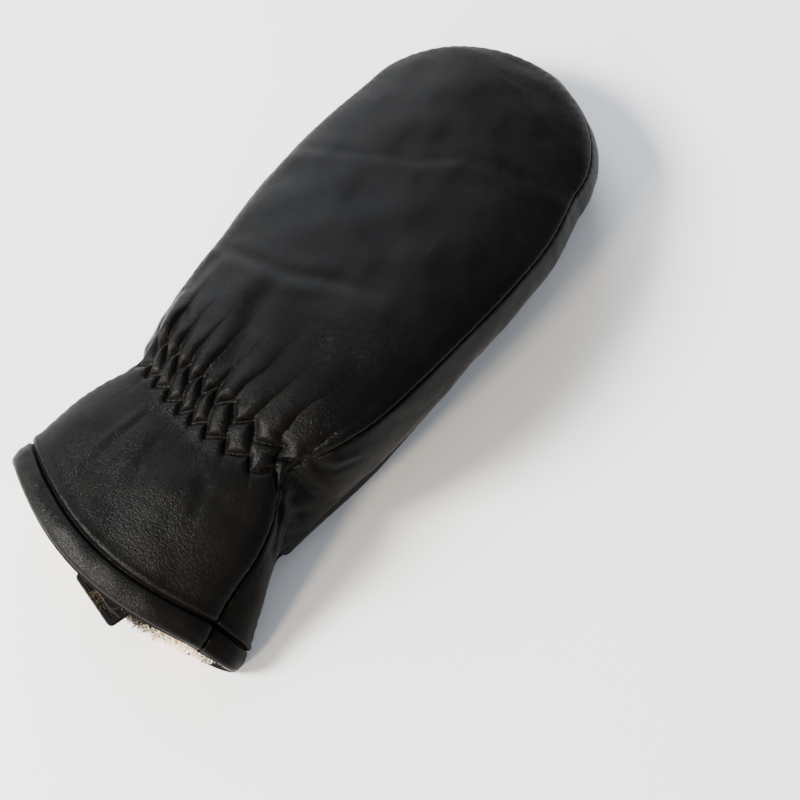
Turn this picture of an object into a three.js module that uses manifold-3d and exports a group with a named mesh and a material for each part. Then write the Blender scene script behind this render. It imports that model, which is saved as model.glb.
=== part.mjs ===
// A left-hand leather mitten with a sheepskin lining, lying palm down with the back of the hand up.
// Millimetres. +Z is up from the surface that it lies on, +Y runs from the cuff to the fingertips,
// and +X is the thumb's side. The origin is under the middle of the mitten, on that surface.
import * as THREE from 'three';
import { mergeVertices } from 'three/addons/utils/BufferGeometryUtils.js';
import Module from 'manifold-3d';

const wasm = await Module();
wasm.setup();

// Leather and lining
const LEATHER = 1.6;          // leather wall
const HEM_WALL = 4.4;         // the hem, where the leather is turned in and sewn down
const HEM_WIDTH = 12;         // from the cuff's edge to the hem's row of stitches
const SEAM_GAP = 0.3;         // between two sewn edges, across and down alike
const PIECE_GAP = 0.4;        // between a wall and the piece that it meets face to face
const FUR_OUT = 3.0;          // from the leather's outside to the back of the lining
const FUR_IN = 6.6;           // from the leather's outside to the face of the fur
const THUMB_FUR_IN = 5.4;     // the same in the thumb, where the pile is shorter

// The back's and the palm's gathers at the wrist
const GATHERS = 10;           // puffs across a gathering row
const PUFF = 1.7;             // how far a puff stands up
const TUCK = 0.8;             // how far the stitches pull the leather in
const ZIGZAG = 2.6;           // half the height of the zigzag

// The fingertips: a rounded end about a centre that lies on the axis
const TIP_CENTRE = { x: -1, y: 230 };
const TIP_LENGTH = 47.5;
const TIP_ARC = 75;           // length of the outline round a quarter of the tip
const TIP_Z = { back: 24.5, palm: 4.5 };
const TIP_POWER = { thumb: 1.08, finger: 1.0 };
const TIP_FLOOR = -0.6;       // how far the fingertips press down, where the palm goes flat

// The thumb, folded flat under the palm
const THUMB_ROOT = { x: 29, y: 92 };
const THUMB_TURN = 26;        // degrees, from the axis towards the fingers' side
const THUMB_HIGH = 16.4;
const THUMB_SIDES = 20;       // steps round the thumb
const THUMB_SQUARE = 0.8;     // below 1 its sections are squarer than an ellipse
const THUMB_SEAM = { from: 45, height: 8.6, tilt: 9 };   // a plane across the thumb, tilted by degrees

// The seams. A row for each section, and every point is x, y, z. Along is the distance from the
// cuff's edge. The back seam joins the back to the side strip, and the palm seam the strip to the palm.
const SECTIONS = [
  { along: 0, thumbBack: [42.5, 4, 18], thumbPalm: [53.5, 8, 4.5], fingerBack: [-61, 21, 16], fingerPalm: [-56, 22, 3.5] },
  { along: 12, thumbBack: [41.5, 14, 21.5], thumbPalm: [52.5, 17, 6], fingerBack: [-58.5, 31, 19], fingerPalm: [-54, 31, 4.5] },
  { along: 26, thumbBack: [41, 26, 26], thumbPalm: [50, 25, 9], fingerBack: [-56, 42, 22], fingerPalm: [-52, 38, 6] },
  { along: 40, thumbBack: [41, 40, 31], thumbPalm: [46.5, 34, 12], fingerBack: [-53, 53, 25], fingerPalm: [-49, 45, 8] },
  { along: 52, thumbBack: [38.5, 52, 34], thumbPalm: [43, 42, 13.5], fingerBack: [-49, 63, 27], fingerPalm: [-46, 51, 10] },
  { along: 62, thumbBack: [34, 62, 36], thumbPalm: [41.5, 49, 14], fingerBack: [-44.5, 71, 29], fingerPalm: [-43.5, 57, 12] },
  { along: 71, thumbBack: [31.5, 71, 38.5], thumbPalm: [43, 57, 14.5], fingerBack: [-42.5, 79, 31], fingerPalm: [-42.5, 64, 13] },
  { along: 78, thumbBack: [36.5, 78, 41], thumbPalm: [45, 67, 16], fingerBack: [-43.5, 87, 33.5], fingerPalm: [-43.5, 73, 14] },
  { along: 85, thumbBack: [41.5, 85, 43.5], thumbPalm: [47, 79, 17.5], fingerBack: [-45, 95, 35], fingerPalm: [-45, 84, 14.5] },
  { along: 101, thumbBack: [48, 101, 46.5], thumbPalm: [50.5, 99, 19.5], fingerBack: [-47, 109, 36.5], fingerPalm: [-46.5, 104, 15] },
  { along: 126, thumbBack: [52, 126, 47], thumbPalm: [53, 125, 20.5], fingerBack: [-48.5, 130, 37], fingerPalm: [-48, 128, 15.5] },
  { along: 150, thumbBack: [54, 150, 45.5], thumbPalm: [53.5, 150, 20], fingerBack: [-50.5, 152, 37], fingerPalm: [-50, 151, 15.5] },
  { along: 177, thumbBack: [55, 177, 42], thumbPalm: [54, 177, 18.5], fingerBack: [-51.5, 178, 36], fingerPalm: [-51, 178, 14.5] },
  { along: 204, thumbBack: [53.6, 204, 37], thumbPalm: [53, 204, 15.5], fingerBack: [-51.5, 205, 33], fingerPalm: [-51, 205, 12.5] },
  { along: 230, thumbBack: [48, 230, 32.5], thumbPalm: [47.7, 230, 11.5], fingerBack: [-49.5, 230, 30], fingerPalm: [-49, 230, 10] },
];

// What lies between the seams. Crown is how high the back rises over them and bow how far its middle runs
// on towards the fingertips. Bulge is how far the strip swells out. The palm rolls out under its seam by
// roll, and has three heights: the thumb's side, the middle and the fingers' side.
const SWELLS = [
  { along: 0, crown: 12.5, bow: -13, palmBow: -11, bulge: 3, roll: 0.5, thumbLow: 0, middle: 0, fingerLow: 0 },
  { along: 12, crown: 12.5, bow: -13, palmBow: -10, bulge: 3, roll: 0.5, thumbLow: 0, middle: 0, fingerLow: 0 },
  { along: 26, crown: 12, bow: -11, palmBow: -7, bulge: 3, roll: 0.8, thumbLow: 0.4, middle: 0, fingerLow: 0.3 },
  { along: 40, crown: 10.5, bow: -9, palmBow: -5, bulge: 2.6, roll: 0.8, thumbLow: 1.6, middle: 1, fingerLow: 1 },
  { along: 52, crown: 9, bow: -8, palmBow: -4, bulge: 2.2, roll: 0.8, thumbLow: 3.2, middle: 3, fingerLow: 2 },
  { along: 62, crown: 8, bow: -7, palmBow: -3, bulge: 2, roll: 1, thumbLow: 5, middle: 5.5, fingerLow: 3 },
  { along: 71, crown: 8, bow: -7, palmBow: -3, bulge: 2, roll: 2, thumbLow: 7.5, middle: 9, fingerLow: 4 },
  { along: 78, crown: 8.2, bow: -6.5, palmBow: -2, bulge: 2.4, roll: 3, thumbLow: 10, middle: 12, fingerLow: 4.5 },
  { along: 85, crown: 8.5, bow: -6, palmBow: -1, bulge: 2.8, roll: 4, thumbLow: 12.5, middle: 15, fingerLow: 5 },
  { along: 101, crown: 9, bow: -4, palmBow: 0, bulge: 3, roll: 4.4, thumbLow: 14.5, middle: 18, fingerLow: 6 },
  { along: 126, crown: 9.5, bow: -1.5, palmBow: 0, bulge: 3, roll: 3, thumbLow: 15.5, middle: 18.4, fingerLow: 7 },
  { along: 150, crown: 9.5, bow: 0, palmBow: 0, bulge: 3, roll: 2, thumbLow: 15.5, middle: 18.4, fingerLow: 8 },
  { along: 177, crown: 9, bow: 0, palmBow: 0, bulge: 3, roll: 1.6, thumbLow: 13, middle: 18.2, fingerLow: 8 },
  { along: 204, crown: 8, bow: 0, palmBow: 0, bulge: 3, roll: 1.4, thumbLow: 8, middle: 13, fingerLow: 6 },
  { along: 230, crown: 7, bow: 0, palmBow: 0, bulge: 3, roll: 1.2, thumbLow: 1.8, middle: 2, fingerLow: 1.8 },
];

// The rows that the panels and the strip are divided in. Span is how many steps a row has across the back,
// palmSpan across the palm. Puff and zigzag are how strongly the wrist's gathers show on that row.
const ROWS = [
  { along: 0, span: 14, palmSpan: 12 },
  { along: 1.3, span: 14, palmSpan: 12 },
  { along: 5, span: 14, palmSpan: 12 },
  { along: 9.5, span: 14, palmSpan: 12 },
  { along: 12, span: 14, palmSpan: 12 },
  { along: 14.5, span: 14, palmSpan: 12 },
  { along: 24, span: 14, palmSpan: 12 },
  { along: 36, span: 20, palmSpan: 12, puff: 0.1 },
  { along: 47, span: 20, palmSpan: 20, puff: 0.25, palmPuff: 0.25 },
  { along: 54, span: 40, palmSpan: 40, puff: 0.5, palmPuff: 0.6 },
  { along: 59, span: 40, palmSpan: 40, puff: 0.85, palmPuff: 1 },
  { along: 64, span: 40, palmSpan: 40, zigzag: 1, palmZigzag: 1 },
  { along: 69.5, span: 40, palmSpan: 40, puff: 1, palmPuff: 1.1 },
  { along: 75, span: 40, palmSpan: 40, zigzag: 1, palmPuff: 0.6 },
  { along: 80.5, span: 40, palmSpan: 20, puff: 1.1 },
  { along: 87, span: 40, palmSpan: 20, puff: 0.75 },
  { along: 96, span: 20, palmSpan: 14, puff: 0.3 },
  { along: 108, span: 20, palmSpan: 14, puff: 0.1 },
  { along: 124, span: 14, palmSpan: 14 },
  { along: 142, span: 14, palmSpan: 14 },
  { along: 160, span: 14, palmSpan: 14 },
  { along: 178, span: 14, palmSpan: 14 },
  { along: 196, span: 14, palmSpan: 14 },
  { along: 214, span: 14, palmSpan: 12 },
  { along: 230, span: 14, palmSpan: 12 },
  { along: 242, span: 14, palmSpan: 12 },
  { along: 254, span: 12, palmSpan: 10 },
  { along: 266, span: 12, palmSpan: 10 },
  { along: 278, span: 10, palmSpan: 8 },
  { along: 288, span: 8, palmSpan: 6 },
  { along: 296, span: 6, palmSpan: 6 },
  { along: 305, span: 2, palmSpan: 2 },
];

const STRIP_SPAN = 4;         // steps across the outside of the strip
const PALM_EDGE = 0.76;       // where the palm starts to roll up to its seams, from 0 to 1
const PALM_LOW_AT = 0.8;      // where it reaches its side heights

// Where the inside of a panel has its points across, from -1 at one seam to 1 at the other. The lining
// has its own at the same places, so the two stay the same distance apart.
const BACK_INSIDE = [-1, -0.96, -0.84, -0.55, -0.2, 0.2, 0.55, 0.84, 0.96, 1];
const PALM_INSIDE = [-1, -0.94, -0.8, -0.5, -0.15, 0.2, 0.5, 0.8, 0.94, 1];

const lerp = THREE.MathUtils.lerp;
const clamp = THREE.MathUtils.clamp;

// A smooth curve through one column of a table, read at a distance along the mitten
function column(table, name, along) {
  const last = table.length - 1;
  let low = 0;
  while (low < last - 1 && table[low + 1].along < along) low += 1;
  const slope = (row) => {
    const before = table[Math.max(row - 1, 0)];
    const after = table[Math.min(row + 1, last)];
    return (after[name] - before[name]) / (after.along - before.along);
  };
  const from = table[low];
  const to = table[low + 1];
  const step = to.along - from.along;
  const u = clamp((along - from.along) / step, 0, 1);
  const ease = u * u * (3 - 2 * u);
  const lift = u * (1 - u) * ((1 - u) * slope(low) - u * slope(low + 1)) * step;
  return from[name] * (1 - ease) + to[name] * ease + lift;
}

// The same for a column of points
function pointColumn(table, name, along) {
  return [0, 1, 2].map((axis) => {
    const flat = table.map((row) => ({ along: row.along, value: row[name][axis] }));
    return column(flat, 'value', along);
  });
}

const tipStart = SECTIONS.at(-1).along;
const tipAngle = (along) => clamp((along - tipStart) / TIP_ARC, 0, 1) * Math.PI / 2;

// Which way is out, in plan, at a place on one side of the mitten
function outward(along, side) {
  const angle = tipAngle(along);
  return [side * Math.cos(angle), Math.sin(angle)];
}

// A point on a seam. Side is 1 at the thumb and -1 at the fingers, seam is Back or Palm.
// Inset moves it in from the leather's outside, and shift moves it in plan and in height for the seam's gap.
function seamPoint(along, side, seam, inset = 0, shift = [0, 0]) {
  const name = (side > 0 ? 'thumb' : 'finger') + seam;
  const [x0, y0, z0] = pointColumn(SECTIONS, name, Math.min(along, tipStart));
  const angle = tipAngle(along);
  const power = side > 0 ? TIP_POWER.thumb : TIP_POWER.finger;
  const reach = Math.abs(x0 - TIP_CENTRE.x);
  const inTip = along > tipStart;
  const x = inTip ? TIP_CENTRE.x + side * reach * Math.cos(angle) ** power : x0;
  const y = inTip ? TIP_CENTRE.y + TIP_LENGTH * Math.sin(angle) ** power : y0;
  const tipZ = seam === 'Back' ? TIP_Z.back : TIP_Z.palm;
  const z = lerp(z0, tipZ, Math.sin(angle));
  const [nx, ny] = outward(along, side);
  const down = seam === 'Back' ? -1 : 1;
  const move = shift[0] - inset;
  return [x + nx * move, y + ny * move, z + down * inset + shift[1]];
}

const DOME = { square: 2.4, full: 0.6 };
const dome = (t) => (1 - Math.abs(t) ** DOME.square) ** DOME.full;
const swell = (name, along) => column(SWELLS, name, Math.min(along, tipStart));

// The back's surface: t runs from -1 at the fingers' seam to 1 at the thumb's
function backPoint(along, t, inset = 0, lift = 0) {
  const shift = [-SEAM_GAP / 2, SEAM_GAP / 2];
  const left = seamPoint(along, -1, 'Back', inset, shift);
  const right = seamPoint(along, 1, 'Back', inset, shift);
  const u = (t + 1) / 2;
  const crown = swell('crown', along) * dome(Math.sin(tipAngle(along)));
  const x = lerp(left[0], right[0], u);
  const y = lerp(left[1], right[1], u) + swell('bow', along) * (1 - t * t);
  const z = lerp(left[2], right[2], u) + crown * dome(t);
  return [x, y, z + lift];
}

// The palm's surface, which rolls out under its seams and arches over the folded thumb
function palmPoint(along, t, inset = 0, lift = 0) {
  const shift = [-SEAM_GAP / 2, -SEAM_GAP / 2];
  const left = seamPoint(along, -1, 'Palm', inset, shift);
  const right = seamPoint(along, 1, 'Palm', inset, shift);
  const u = (t + 1) / 2;
  const tip = Math.sin(tipAngle(along));
  const low = lerp(swell(t > 0 ? 'thumbLow' : 'fingerLow', along), TIP_FLOOR, tip);
  const middle = lerp(swell('middle', along), TIP_FLOOR, tip);
  const edge = clamp((Math.abs(t) - PALM_EDGE) / (1 - PALM_EDGE), 0, 1);
  const seamZ = lerp(left[2], right[2], u);
  const base = lerp(middle, low, clamp(Math.abs(t) / PALM_LOW_AT, 0, 1) ** 3) + inset;
  const ends = Math.sqrt(1 - tip ** 6);
  const z = lerp(seamZ, Math.max(base, inset), Math.sqrt(1 - edge * edge) * ends);
  const roll = swell('roll', along) * Math.sin(Math.PI * edge) * Math.sign(t) * ends;
  const y = lerp(left[1], right[1], u) + swell('palmBow', along) * (1 - t * t);
  return [lerp(left[0], right[0], u) + roll, y, Math.max(z - lift, inset, 0)];
}

// The strip's surface: v runs from 0 at the palm seam to 1 at the back seam
function stripPoint(along, side, v, inset = 0) {
  const low = seamPoint(along, side, 'Palm', inset, [SEAM_GAP / 2, SEAM_GAP / 2]);
  const high = seamPoint(along, side, 'Back', inset, [SEAM_GAP / 2, -SEAM_GAP / 2]);
  const [nx, ny] = outward(along, side);
  const out = swell('bulge', along) * Math.sin(Math.PI * v);
  return [lerp(low[0], high[0], v) + nx * out, lerp(low[1], high[1], v) + ny * out, lerp(low[2], high[2], v)];
}

// How deep the leather's outside and inside lie in the hem: a puffed roll, a groove, and a turned-in edge
const HEM = [
  { along: 0, outside: 1.7, inside: 3.2 },
  { along: 1.3, outside: 0.4, inside: 4.2 },
  { along: 5, outside: -0.8, inside: HEM_WALL },
  { along: 9.5, outside: -0.4, inside: HEM_WALL },
  { along: HEM_WIDTH, outside: 0.8, inside: 3.4 },
  { along: 14.5, outside: 0, inside: LEATHER },
];
const hemDepth = (name, along) => column(HEM, name, Math.min(along, HEM.at(-1).along));

// Puffs across a row: round on top, with a sharp fold between
const puffs = (t) => Math.abs(Math.sin(Math.PI * GATHERS * (t + 1) / 2));
const SEAM_FADE = 0.08;       // share of the width over which they die out at a seam
const fade = (t) => clamp((1 - Math.abs(t)) / SEAM_FADE, 0, 1);

// One row of a panel's outside
function panelRow(surface, row, span, puff, zigzag) {
  return Array.from({ length: span + 1 }, (_, step) => {
    const t = -1 + 2 * step / span;
    const tooth = zigzag * ZIGZAG * (2 * puffs(t) - 1) * fade(t);
    const lift = (puff * PUFF * puffs(t) - zigzag * TUCK) * fade(t);
    return surface(row.along + tooth, t, hemDepth('outside', row.along), lift);
  });
}

// One row of its inside
function insideRow(surface, along, stations) {
  const inset = hemDepth('inside', along);
  return stations.map((t) => surface(along, t, inset));
}

// Gathers the faces of one closed body
class Skin {
  positions = [];
  faces = [];

  add(points) {
    const start = this.positions.length;
    this.positions.push(...points);
    return points.map((_, index) => start + index);
  }

  // A band of triangles between two lines that may have different numbers of points
  band(lower, upper) {
    let a = 0;
    let b = 0;
    while (a < lower.length - 1 || b < upper.length - 1) {
      const nextA = (a + 1) / (lower.length - 1);
      const nextB = (b + 1) / (upper.length - 1);
      if (b === upper.length - 1 || (a < lower.length - 1 && nextA <= nextB + 1e-9)) {
        this.faces.push([lower[a], lower[a + 1], upper[b]]);
        a += 1;
      } else {
        this.faces.push([lower[a], upper[b + 1], upper[b]]);
        b += 1;
      }
    }
  }

  // The closed body as a solid, with its faces turned out
  solid() {
    const geometry = new THREE.BufferGeometry();
    geometry.setAttribute('position', new THREE.Float32BufferAttribute(this.positions.flat(), 3));
    geometry.setIndex(this.faces.flat());
    return solidFrom(geometry);
  }
}

function volume(positions, index) {
  const corner = [new THREE.Vector3(), new THREE.Vector3(), new THREE.Vector3()];
  let sum = 0;
  for (let face = 0; face < index.length; face += 3) {
    corner.forEach((point, k) => point.fromArray(positions, 3 * index[face + k]));
    sum += corner[0].dot(corner[1].clone().cross(corner[2])) / 6;
  }
  return sum;
}

function solidFrom(geometry) {
  const bare = geometry.clone();
  bare.deleteAttribute('normal');
  bare.deleteAttribute('uv');
  const merged = mergeVertices(bare, 1e-4);
  const vertProperties = new Float32Array(merged.getAttribute('position').array);
  let triVerts = new Uint32Array(merged.getIndex().array);
  triVerts = triVerts.filter((_, k) => {
    const [a, b, c] = triVerts.subarray(k - (k % 3), k - (k % 3) + 3);
    return a !== b && b !== c && c !== a;
  });
  if (volume(vertProperties, triVerts) < 0) triVerts.reverse();
  return new wasm.Manifold(new wasm.Mesh({ numProp: 3, vertProperties, triVerts }));
}

// A wall between an outside and an inside, each given as rows of points
function wall(outside, inside) {
  const skin = new Skin();
  const out = outside.map((row) => skin.add(row));
  const back = inside.map((row) => skin.add(row));
  for (let row = 0; row < out.length - 1; row += 1) {
    skin.band(out[row], out[row + 1]);
    skin.band(back[row + 1], back[row]);
    skin.band([out[row][0], out[row + 1][0]], [back[row][0], back[row + 1][0]]);
    skin.band([back[row].at(-1), back[row + 1].at(-1)], [out[row].at(-1), out[row + 1].at(-1)]);
  }
  skin.band(back[0], out[0]);
  skin.band(out.at(-1), back.at(-1));
  return skin.solid();
}

// A closed body through rings of points
function loft(rings) {
  const skin = new Skin();
  const rows = rings.map((ring) => skin.add(ring));
  const closed = rows.map((row) => [...row, row[0]]);
  for (let row = 0; row < rows.length - 1; row += 1) skin.band(closed[row], closed[row + 1]);
  for (let corner = 1; corner < rows[0].length - 1; corner += 1) {
    skin.faces.push([rows[0][0], rows[0][corner + 1], rows[0][corner]]);
    skin.faces.push([rows.at(-1)[0], rows.at(-1)[corner], rows.at(-1)[corner + 1]]);
  }
  return skin.solid();
}

// The back and the palm panels
function backPanel() {
  const outside = ROWS.map((row) => panelRow(backPoint, row, row.span, row.puff ?? 0, row.zigzag ?? 0));
  return wall(outside, ROWS.map((row) => insideRow(backPoint, row.along, BACK_INSIDE)));
}

function palmPanel() {
  const outside = ROWS.map((row) => panelRow(palmPoint, row, row.palmSpan, row.palmPuff ?? 0, row.palmZigzag ?? 0));
  return wall(outside, ROWS.map((row) => insideRow(palmPoint, row.along, PALM_INSIDE)));
}

// The strip runs up the fingers' side, over the tip and down the thumb's side
function sideStrip() {
  const line = (along, side, inset, span) =>
    Array.from({ length: span + 1 }, (_, step) => stripPoint(along, side, step / span, inset));
  const stops = [
    ...ROWS.map((row) => [row.along, -1]),
    ...ROWS.toReversed().map((row) => [row.along, 1]),
  ];
  const outside = stops.map(([along, side]) => line(along, side, hemDepth('outside', along), STRIP_SPAN));
  const inside = stops.map(([along, side]) => line(along, side, hemDepth('inside', along), STRIP_SPAN / 2));
  return wall(outside, inside);
}

const LINING_ROWS = ROWS.map((row) => row.along).filter((along) => along > 0);

// One half of the lining, from the middle of one side strip to the middle of the other

function liningRow(surface, stations, high, along, inset) {
  const middle = (side) => {
    const point = stripPoint(along, side, 0.5, inset);
    return [point[0], point[1], point[2] + (high ? PIECE_GAP / 2 : -PIECE_GAP / 2)];
  };
  return [middle(-1), ...stations.map((t) => surface(along, t, inset)), middle(1)];
}

function liningHalf(surface, stations, high) {
  const behind = (along) => hemDepth('inside', along) + FUR_OUT - LEATHER;
  const row = (along, inset) => liningRow(surface, stations, high, along, inset);
  const outside = LINING_ROWS.map((along) => row(along, behind(along)));
  return wall(outside, LINING_ROWS.map((along) => row(along, FUR_IN)));
}

// The hand from the wrist to the fingers as one closed body at an inset, with its palm's points at the
// given places across, for cutting the thumb where it meets the palm
const HAND_SPAN = { from: 40, to: 215 };
const HAND_ROWS = LINING_ROWS.filter((along) => along > HAND_SPAN.from && along < HAND_SPAN.to);
const PALM_OUTSIDE = Array.from({ length: 15 }, (_, step) => -1 + step / 7);

function handBody(inset, stations) {
  return loft(HAND_ROWS.map((along) => [
    ...stations.map((t) => palmPoint(along, t, inset)),
    ...BACK_INSIDE.toReversed().map((t) => backPoint(along, t, inset)),
  ]));
}

// The thumb's sections: distance from its root, how far it lies aside towards the fingers, height of its
// middle, width, and thickness as a share
const THUMB_SECTIONS = [
  { from: -24, aside: 21, rise: 27, width: 30, thick: 1.3 },
  { from: -14, aside: 15, rise: 21, width: 38, thick: 1.4 },
  { from: -3, aside: 7, rise: 13.8, width: 48, thick: 1.3 },
  { from: 9, aside: 2, rise: 9.2, width: 55, thick: 1.06 },
  { from: 24, aside: 0, rise: 7.8, width: 56, thick: 1 },
  { from: 42, aside: 0, rise: 7.8, width: 53, thick: 1 },
  { from: 60, aside: 0, rise: 7.8, width: 49, thick: 1 },
  { from: 76, aside: 0, rise: 7.8, width: 45, thick: 1 },
  { from: 90, aside: 0, rise: 7.6, width: 37, thick: 0.96 },
  { from: 99, aside: 0, rise: 7.0, width: 26, thick: 0.84 },
  { from: 104, aside: 0, rise: 6.2, width: 14, thick: 0.6 },
];
const THUMB_LEAST = 2;        // half the width of the narrowest section that an inset thumb may have

function thumbRing(row, inset, last) {
  const turn = THREE.MathUtils.degToRad(THUMB_TURN);
  const wide = row.width / 2 - inset;
  const high = THUMB_HIGH * row.thick / 2 - inset;
  const from = row.from - (last ? inset : 0);
  const centre = [THUMB_ROOT.x - from * Math.sin(turn), THUMB_ROOT.y + from * Math.cos(turn)];
  return Array.from({ length: THUMB_SIDES }, (_, step) => {
    const angle = 2 * Math.PI * step / THUMB_SIDES;
    const square = (value) => Math.sign(value) * Math.abs(value) ** THUMB_SQUARE;
    const side = wide * square(Math.cos(angle)) - row.aside;
    const z = row.rise + high * square(Math.sin(angle));
    return [centre[0] + side * Math.cos(turn), centre[1] + side * Math.sin(turn), Math.max(z, inset)];
  });
}

function thumbBody(inset) {
  const rows = THUMB_SECTIONS.filter((row) => row.width / 2 > inset + THUMB_LEAST);
  return loft(rows.map((row, index) => thumbRing(row, inset, index > rows.length - 3)));
}

// A big block on one side of the slanting seam that parts the thumb's two halves
function thumbSide(up) {
  const size = 400;
  const block = new THREE.BoxGeometry(size, size, size);
  const turn = THREE.MathUtils.degToRad(THUMB_TURN);
  const { from, height, tilt } = THUMB_SEAM;
  const shift = (up ? 1 : -1) * (size / 2 + PIECE_GAP / 2);
  const place = new THREE.Matrix4()
    .makeTranslation(THUMB_ROOT.x - from * Math.sin(turn), THUMB_ROOT.y + from * Math.cos(turn), height)
    .multiply(new THREE.Matrix4().makeRotationZ(turn))
    .multiply(new THREE.Matrix4().makeRotationY(-THREE.MathUtils.degToRad(tilt)))
    .multiply(new THREE.Matrix4().makeTranslation(0, 0, shift));
  return solidFrom(block.applyMatrix4(place));
}

// The tab in the cuff's mouth and the patch of hooks on it
const TAB = { width: 24, length: 38, thick: 1.8, corner: 2, x: 0.5, y: -6, z: 15, turn: -19, slope: 5 };
const PATCH = { width: 17.4, length: 20, thick: 1.2, corner: 1, edge: 3.3 };
const CORNER_STEPS = 3;

function strap(width, length, thick, corner) {
  const shape = new THREE.Shape();
  const half = width / 2;
  shape.moveTo(-half + corner, 0);
  shape.lineTo(half - corner, 0);
  shape.quadraticCurveTo(half, 0, half, corner);
  shape.lineTo(half, length);
  shape.lineTo(-half, length);
  shape.lineTo(-half, corner);
  shape.quadraticCurveTo(-half, 0, -half + corner, 0);
  return new THREE.ExtrudeGeometry(shape, { depth: thick, bevelEnabled: false, curveSegments: CORNER_STEPS });
}

const leather = new THREE.MeshStandardMaterial({ name: 'black_leather', color: 0x17161a, roughness: 0.46, metalness: 0 });
const fur = new THREE.MeshStandardMaterial({ name: 'sheepskin_fur', color: 0xe9d8bf, roughness: 0.95, metalness: 0 });
const webbing = new THREE.MeshStandardMaterial({ name: 'tab_webbing', color: 0x121214, roughness: 0.75, metalness: 0 });
const hooks = new THREE.MeshStandardMaterial({ name: 'hook_patch', color: 0x35291f, roughness: 0.9, metalness: 0 });

const group = new THREE.Group();

// The biggest body that a cut leaves, without the crumbs beside it
function mainBody(solid) {
  const bodies = solid.decompose();
  return bodies.reduce((best, body) => (body.volume() > best.volume() ? body : best));
}

function addMesh(name, geometry, material) {
  const mesh = new THREE.Mesh(geometry, material);
  mesh.name = name;
  group.add(mesh);
  return mesh;
}

function addSolid(name, solid, material) {
  const { vertProperties, triVerts } = mainBody(solid).getMesh();
  const geometry = new THREE.BufferGeometry();
  geometry.setAttribute('position', new THREE.BufferAttribute(new Float32Array(vertProperties), 3));
  geometry.setIndex(new THREE.BufferAttribute(new Uint32Array(triVerts), 1));
  geometry.computeVertexNormals();
  return addMesh(name, geometry, material);
}

// The thumb's leather and its lining meet the palm's at their open ends
const thumbLeather = thumbBody(0).subtract(thumbBody(LEATHER))
  .subtract(handBody(-2 * PIECE_GAP, PALM_OUTSIDE));
const thumbLining = thumbBody(FUR_OUT).subtract(thumbBody(THUMB_FUR_IN))
  .subtract(handBody(FUR_OUT - PIECE_GAP, PALM_INSIDE));

addSolid('back_panel', backPanel(), leather);
addSolid('side_strip', sideStrip(), leather);
addSolid('palm_panel', palmPanel().subtract(thumbBody(LEATHER)), leather);
addSolid('thumb_outer', thumbLeather.intersect(thumbSide(false)), leather);
addSolid('thumb_inner', thumbLeather.intersect(thumbSide(true)), leather);
addSolid('lining_back', liningHalf(backPoint, BACK_INSIDE, true), fur);
addSolid('lining_palm', liningHalf(palmPoint, PALM_INSIDE, false).subtract(thumbBody(THUMB_FUR_IN)), fur);
addSolid('lining_thumb', thumbLining, fur);

const tab = new THREE.Group();
tab.position.set(TAB.x, TAB.y, TAB.z);
tab.rotation.set(THREE.MathUtils.degToRad(TAB.slope), 0, THREE.MathUtils.degToRad(TAB.turn), 'ZYX');
const cuffTab = addMesh('cuff_tab', strap(TAB.width, TAB.length, TAB.thick, TAB.corner), webbing);
const tabPatch = addMesh('tab_patch', strap(PATCH.width, PATCH.length, PATCH.thick, PATCH.corner), hooks);
tabPatch.position.set(0, PATCH.edge, TAB.thick + PIECE_GAP);
tab.add(cuffTab, tabPatch);
group.add(tab);

// The seams were measured from the cuff's edge, so the whole mitten moves back over its origin
const box = new THREE.Box3().setFromObject(group);
group.position.set(-(box.min.x + box.max.x) / 2, -(box.min.y + box.max.y) / 2, -box.min.z);
group.updateMatrixWorld(true);

export default group;
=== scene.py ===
"""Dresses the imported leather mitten: its panels and gathers, sheepskin, cuff tab, floor, light and camera."""
import functools
import logging
import math
from dataclasses import dataclass, field
from enum import Enum

import bmesh
import bpy
import numpy as np
from mathutils import Matrix, Vector
from mathutils.kdtree import KDTree


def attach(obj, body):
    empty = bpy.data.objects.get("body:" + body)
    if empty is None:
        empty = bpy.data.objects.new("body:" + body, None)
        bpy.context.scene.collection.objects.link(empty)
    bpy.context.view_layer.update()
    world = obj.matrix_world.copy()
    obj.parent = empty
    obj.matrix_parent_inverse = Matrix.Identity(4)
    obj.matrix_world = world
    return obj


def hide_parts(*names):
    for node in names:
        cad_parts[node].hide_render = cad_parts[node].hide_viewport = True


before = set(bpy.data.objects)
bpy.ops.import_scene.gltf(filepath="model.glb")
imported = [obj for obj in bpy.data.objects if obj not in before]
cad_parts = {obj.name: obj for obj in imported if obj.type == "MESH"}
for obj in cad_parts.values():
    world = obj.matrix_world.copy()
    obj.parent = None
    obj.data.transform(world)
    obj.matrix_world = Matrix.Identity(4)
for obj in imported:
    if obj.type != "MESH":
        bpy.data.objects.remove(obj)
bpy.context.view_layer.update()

log = logging.getLogger("mitten")

MM = 0.001

# Short names for what is passed about
Array = np.ndarray
Piece = bpy.types.Object
Material = bpy.types.Material
NodeTree = bpy.types.NodeTree
Node = bpy.types.Node
Socket = bpy.types.NodeSocket
Pair = tuple[float, float]
Triple = tuple[float, float, float]
Colour = tuple[float, float, float, float]

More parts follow.
